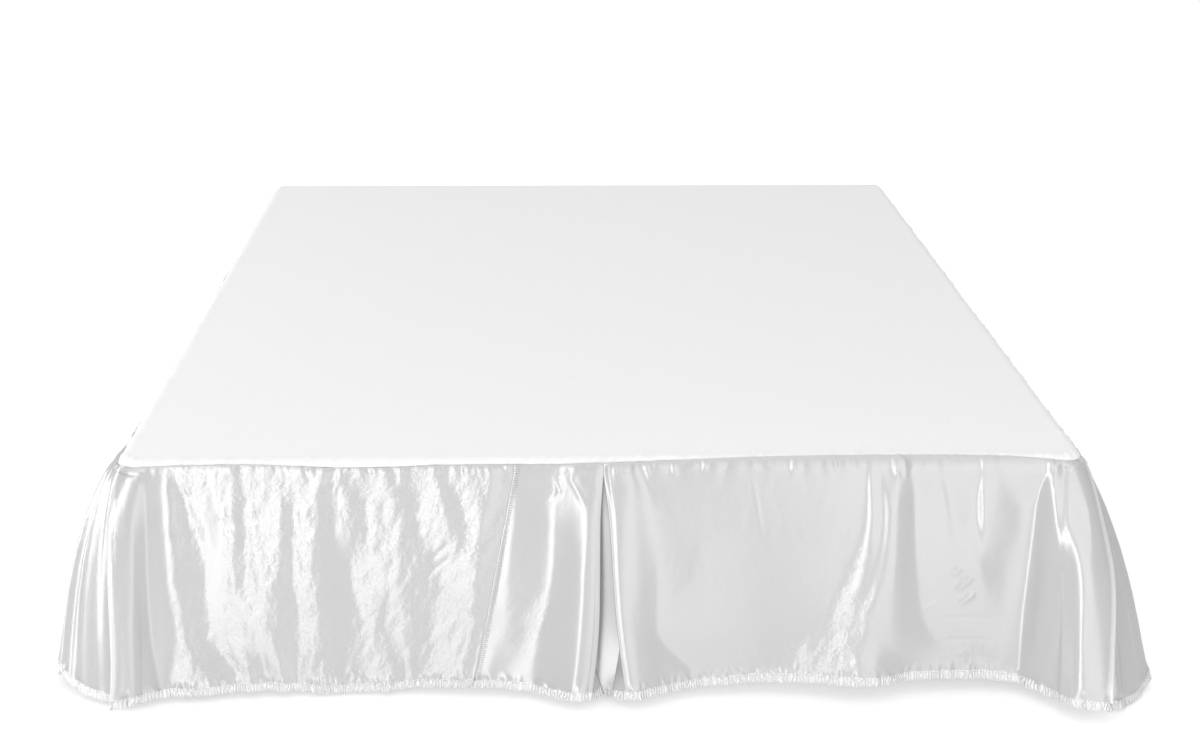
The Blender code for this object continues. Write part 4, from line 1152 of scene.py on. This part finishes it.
def stitchTree(thread):  # bars of thread along a line, each lying the way the line's "lie" says
    tree = bpy.data.node_groups.new("stitches", "GeometryNodeTree")
    kinds = {
        "Line": "Geometry", "Pitch": "Float", "Length": "Float", "Thickness": "Float",
        "Uneven": "Float", "Seed": "Int",
    }
    for name, kind in kinds.items():
        tree.interface.new_socket(name, in_out="INPUT", socket_type="NodeSocket" + kind)
    tree.interface.new_socket("Stitches", in_out="OUTPUT", socket_type="NodeSocketGeometry")

    def add(kind, output, values=None, **settings):
        return addNode(tree, kind, output, values, **settings)

    given = addNode(tree, "NodeGroupInput").outputs
    line = add("GeometryNodeMeshToCurve", "Curve", {"Mesh": given["Line"]})
    steps = {"Curve": line, "Length": given["Pitch"]}
    spaced = add("GeometryNodeResampleCurve", "Curve", steps, mode="LENGTH")
    lie = add("GeometryNodeInputNamedAttribute", "Attribute", {"Name": "lie"}, data_type="FLOAT_VECTOR")
    turned = add("FunctionNodeAlignRotationToVector", "Rotation", {"Vector": lie}, axis="X")
    least = addMath(tree, "SUBTRACT", 1.0, given["Uneven"])
    most = addMath(tree, "ADD", 1.0, given["Uneven"])
    chance = add("FunctionNodeRandomValue", 1, {2: least, 3: most, "Seed": given["Seed"]}, data_type="FLOAT")
    length = addMath(tree, "MULTIPLY", given["Length"], chance)
    thickness = given["Thickness"]
    size = add("ShaderNodeCombineXYZ", "Vector", {"X": length, "Y": thickness, "Z": thickness})
    bar = add("GeometryNodeMeshUVSphere", "Mesh", {"Segments": 6, "Rings": 4, "Radius": 0.5})
    placed = add(
        "GeometryNodeInstanceOnPoints", "Instances",
        {"Points": spaced, "Instance": bar, "Rotation": turned, "Scale": size},
    )
    real = add("GeometryNodeRealizeInstances", "Geometry", {"Geometry": placed})
    coloured = add("GeometryNodeSetMaterial", "Geometry", {"Geometry": real, "Material": thread})
    addNode(tree, "NodeGroupOutput", None, {"Stitches": coloured})
    return tree


def makeStitches(name, tree, lines, pitch, length, thickness):
    vertices = []
    edges = []
    lies = []
    for points, lie in lines:
        edges += [(len(vertices) + i, len(vertices) + i + 1) for i in range(len(points) - 1)]
        vertices += points.tolist()
        lies += lie.tolist()
    mesh = bpy.data.meshes.new(name)
    mesh.from_pydata(vertices, edges, [])
    mesh.attributes.new("lie", "FLOAT_VECTOR", "POINT").data.foreach_set("vector", np.ravel(lies))
    carrier = newObject(name, mesh)
    modifier = carrier.modifiers.new("stitches", "NODES")
    modifier.node_group = tree
    sizes = {
        "Pitch": pitch, "Length": length, "Thickness": thickness,
        "Uneven": stitching["uneven"], "Seed": stitching["seed"],
    }
    for socket in tree.interface.items_tree:
        if socket.name in sizes:
            modifier[socket.identifier] = sizes[socket.name]
    made = finishedMesh(carrier, name)
    made.shade_smooth()
    return made


def outerFace(grid):  # the satin's outer face, the way along the seam and the way down
    normal, across, down = gridNormals(grid["points"])
    return grid["points"] + normal * (grid["thick"] / 2)[..., None], across, down


def hemLines(grid):  # where the hem's stitches run: along the hem and down each hemmed end
    surface, across, down = outerFace(grid)
    row = stitching["hemRow"]
    first = stitching["firstRow"]
    lines = [(surface[:, row], across[:, row])]
    for end, isHemmed in zip((0.0, grid["run"][-1]), grid["hemmed"]):
        if isHemmed:
            fromEnd = np.abs(grid["run"] - end)
            column = np.abs(fromEnd - skirt["sideHem"] * stitching["sideHemShare"]).argmin()
            lines.append((surface[column, first:], down[column, first:]))
    return lines


def ladderLine(grid):  # the overlock's rungs beside the join seam
    surface, across, _ = outerFace(grid)
    column = np.abs(grid["run"] - stitching["ladderFrom"]).argmin()
    rows = slice(stitching["firstRow"], stitching["ladderLastRow"])
    return [(surface[column, rows], across[column, rows])]


thread = threadMaterial()
stitches = stitchTree(thread)
hemStitches = makeStitches(
    "hem_stitches", stitches, [line for grid in grids.values() for line in hemLines(grid)],
    stitching["hemPitch"], stitching["hemStitch"], stitching["thread"],
)
ladder = makeStitches(
    "seam_stitches", stitches, ladderLine(grids["front_skirt_right"]),
    stitching["ladderPitch"], stitching["ladderStitch"], stitching["ladderThread"],
)
for mesh in (hemStitches, ladder):
    addPiece(mesh.name, mesh, thread, "satin")
    print(mesh.name, "faces", len(mesh.polygons))

floorLook = {"base": (0.55, 0.55, 0.55), "roughness": 0.85, "glow": 0.52, "size": 24.0, "below": 0.0005}


def makeFloor():
    half = floorLook["size"] / 2
    corners = [(x * half, y * half, -floorLook["below"]) for x, y in ((-1, -1), (1, -1), (1, 1), (-1, 1))]
    mesh = bpy.data.meshes.new("floor")
    mesh.from_pydata(corners, [], [(0, 1, 2, 3)])
    floor = newObject("floor", mesh)
    material, _, shader = newMaterial("pale floor", floorLook)
    shader.inputs["Emission Color"].default_value = (1, 1, 1, 1)
    shader.inputs["Emission Strength"].default_value = floorLook["glow"]
    mesh.materials.append(material)


lighting = {
    "dome": {"From Min": 0.0, "From Max": 0.7, "To Min": 0.20, "To Max": 0.95},  # horizon to zenith
    "ceiling": 0.3, "ceilingSpread": 50, "ceilingTilt": 45,
    "softboxes": [
        # name, place, aimed at, size, watts
        ("key", (-1.6, -4.5, 1.35), (0, -1.0, 0.2), (1.35, 2.3), 54),
        ("front", (1.05, -3.0, 0.95), (0.45, -1.0, 0.2), (1.4, 1.6), 10.5),
        ("side", (-4.2, -0.2, 1.3), (-0.8, -0.9, 0.2), (1.6, 1.8), 50),
    ],
}


def makeLights():
    world = bpy.data.worlds.new("studio")
    world.use_nodes = True
    tree = world.node_tree
    background = tree.nodes["Background"]
    background.inputs["Color"].default_value = (1, 1, 1, 1)
    way = addNode(tree, "ShaderNodeTexCoord", "Generated")
    up = addNode(tree, "ShaderNodeSeparateXYZ", "Z", {0: way})
    dome = addNode(tree, "ShaderNodeMapRange", 0, {"Value": up, **lighting["dome"]})
    tree.links.new(dome, background.inputs["Strength"])
    bpy.context.scene.world = world
    for name, location, target, (width, height), power in lighting["softboxes"]:
        light = bpy.data.lights.new(name, "AREA")
        light.shape = "RECTANGLE"
        light.size = width
        light.size_y = height
        light.energy = power
        lamp = newObject(name, light)
        lamp.location = location
        lamp.rotation_euler = (Vector(target) - Vector(location)).to_track_quat("-Z", "Y").to_euler()
    ceiling = bpy.data.lights.new("ceiling", "SUN")
    ceiling.energy = lighting["ceiling"]
    ceiling.angle = math.radians(lighting["ceilingSpread"])
    newObject("ceiling", ceiling).rotation_euler = (-math.radians(lighting["ceilingTilt"]), 0, 0)
    bpy.context.scene.view_settings.view_transform = "Standard"
    bpy.context.scene.view_settings.look = "None"


view = {  # where the photograph was taken from, in m from the bed's middle, and in degrees
    "place": (-0.090, -3.994, 1.469), "down": 17.37, "right": 1.62, "roll": 0.20,
    "lens": 61.08, "sensor": 36.0,
}


def makeCamera():
    down, right, roll = (math.radians(view[k]) for k in ("down", "right", "roll"))
    level = Vector((math.sin(right), math.cos(right), 0))
    side = Vector((math.cos(right), -math.sin(right), 0))
    looking = level * math.cos(down) - Vector((0, 0, math.sin(down)))
    up = level * math.sin(down) + Vector((0, 0, math.cos(down)))
    x = side * math.cos(roll) + up * math.sin(roll)
    y = -side * math.sin(roll) + up * math.cos(roll)
    camera = bpy.data.cameras.new("camera")
    camera.lens = view["lens"]
    camera.sensor_width = view["sensor"]
    made = newObject("camera", camera)
    turned = Matrix((x, y, -looking)).transposed()
    where = Vector(view["place"]) + Vector((bedMiddle.x, bedMiddle.y, 0))
    made.matrix_world = Matrix.Translation(where) @ turned.to_4x4()
    bpy.context.scene.camera = made


makeFloor()
makeLights()
makeCamera()
print("stage, lights and camera made")
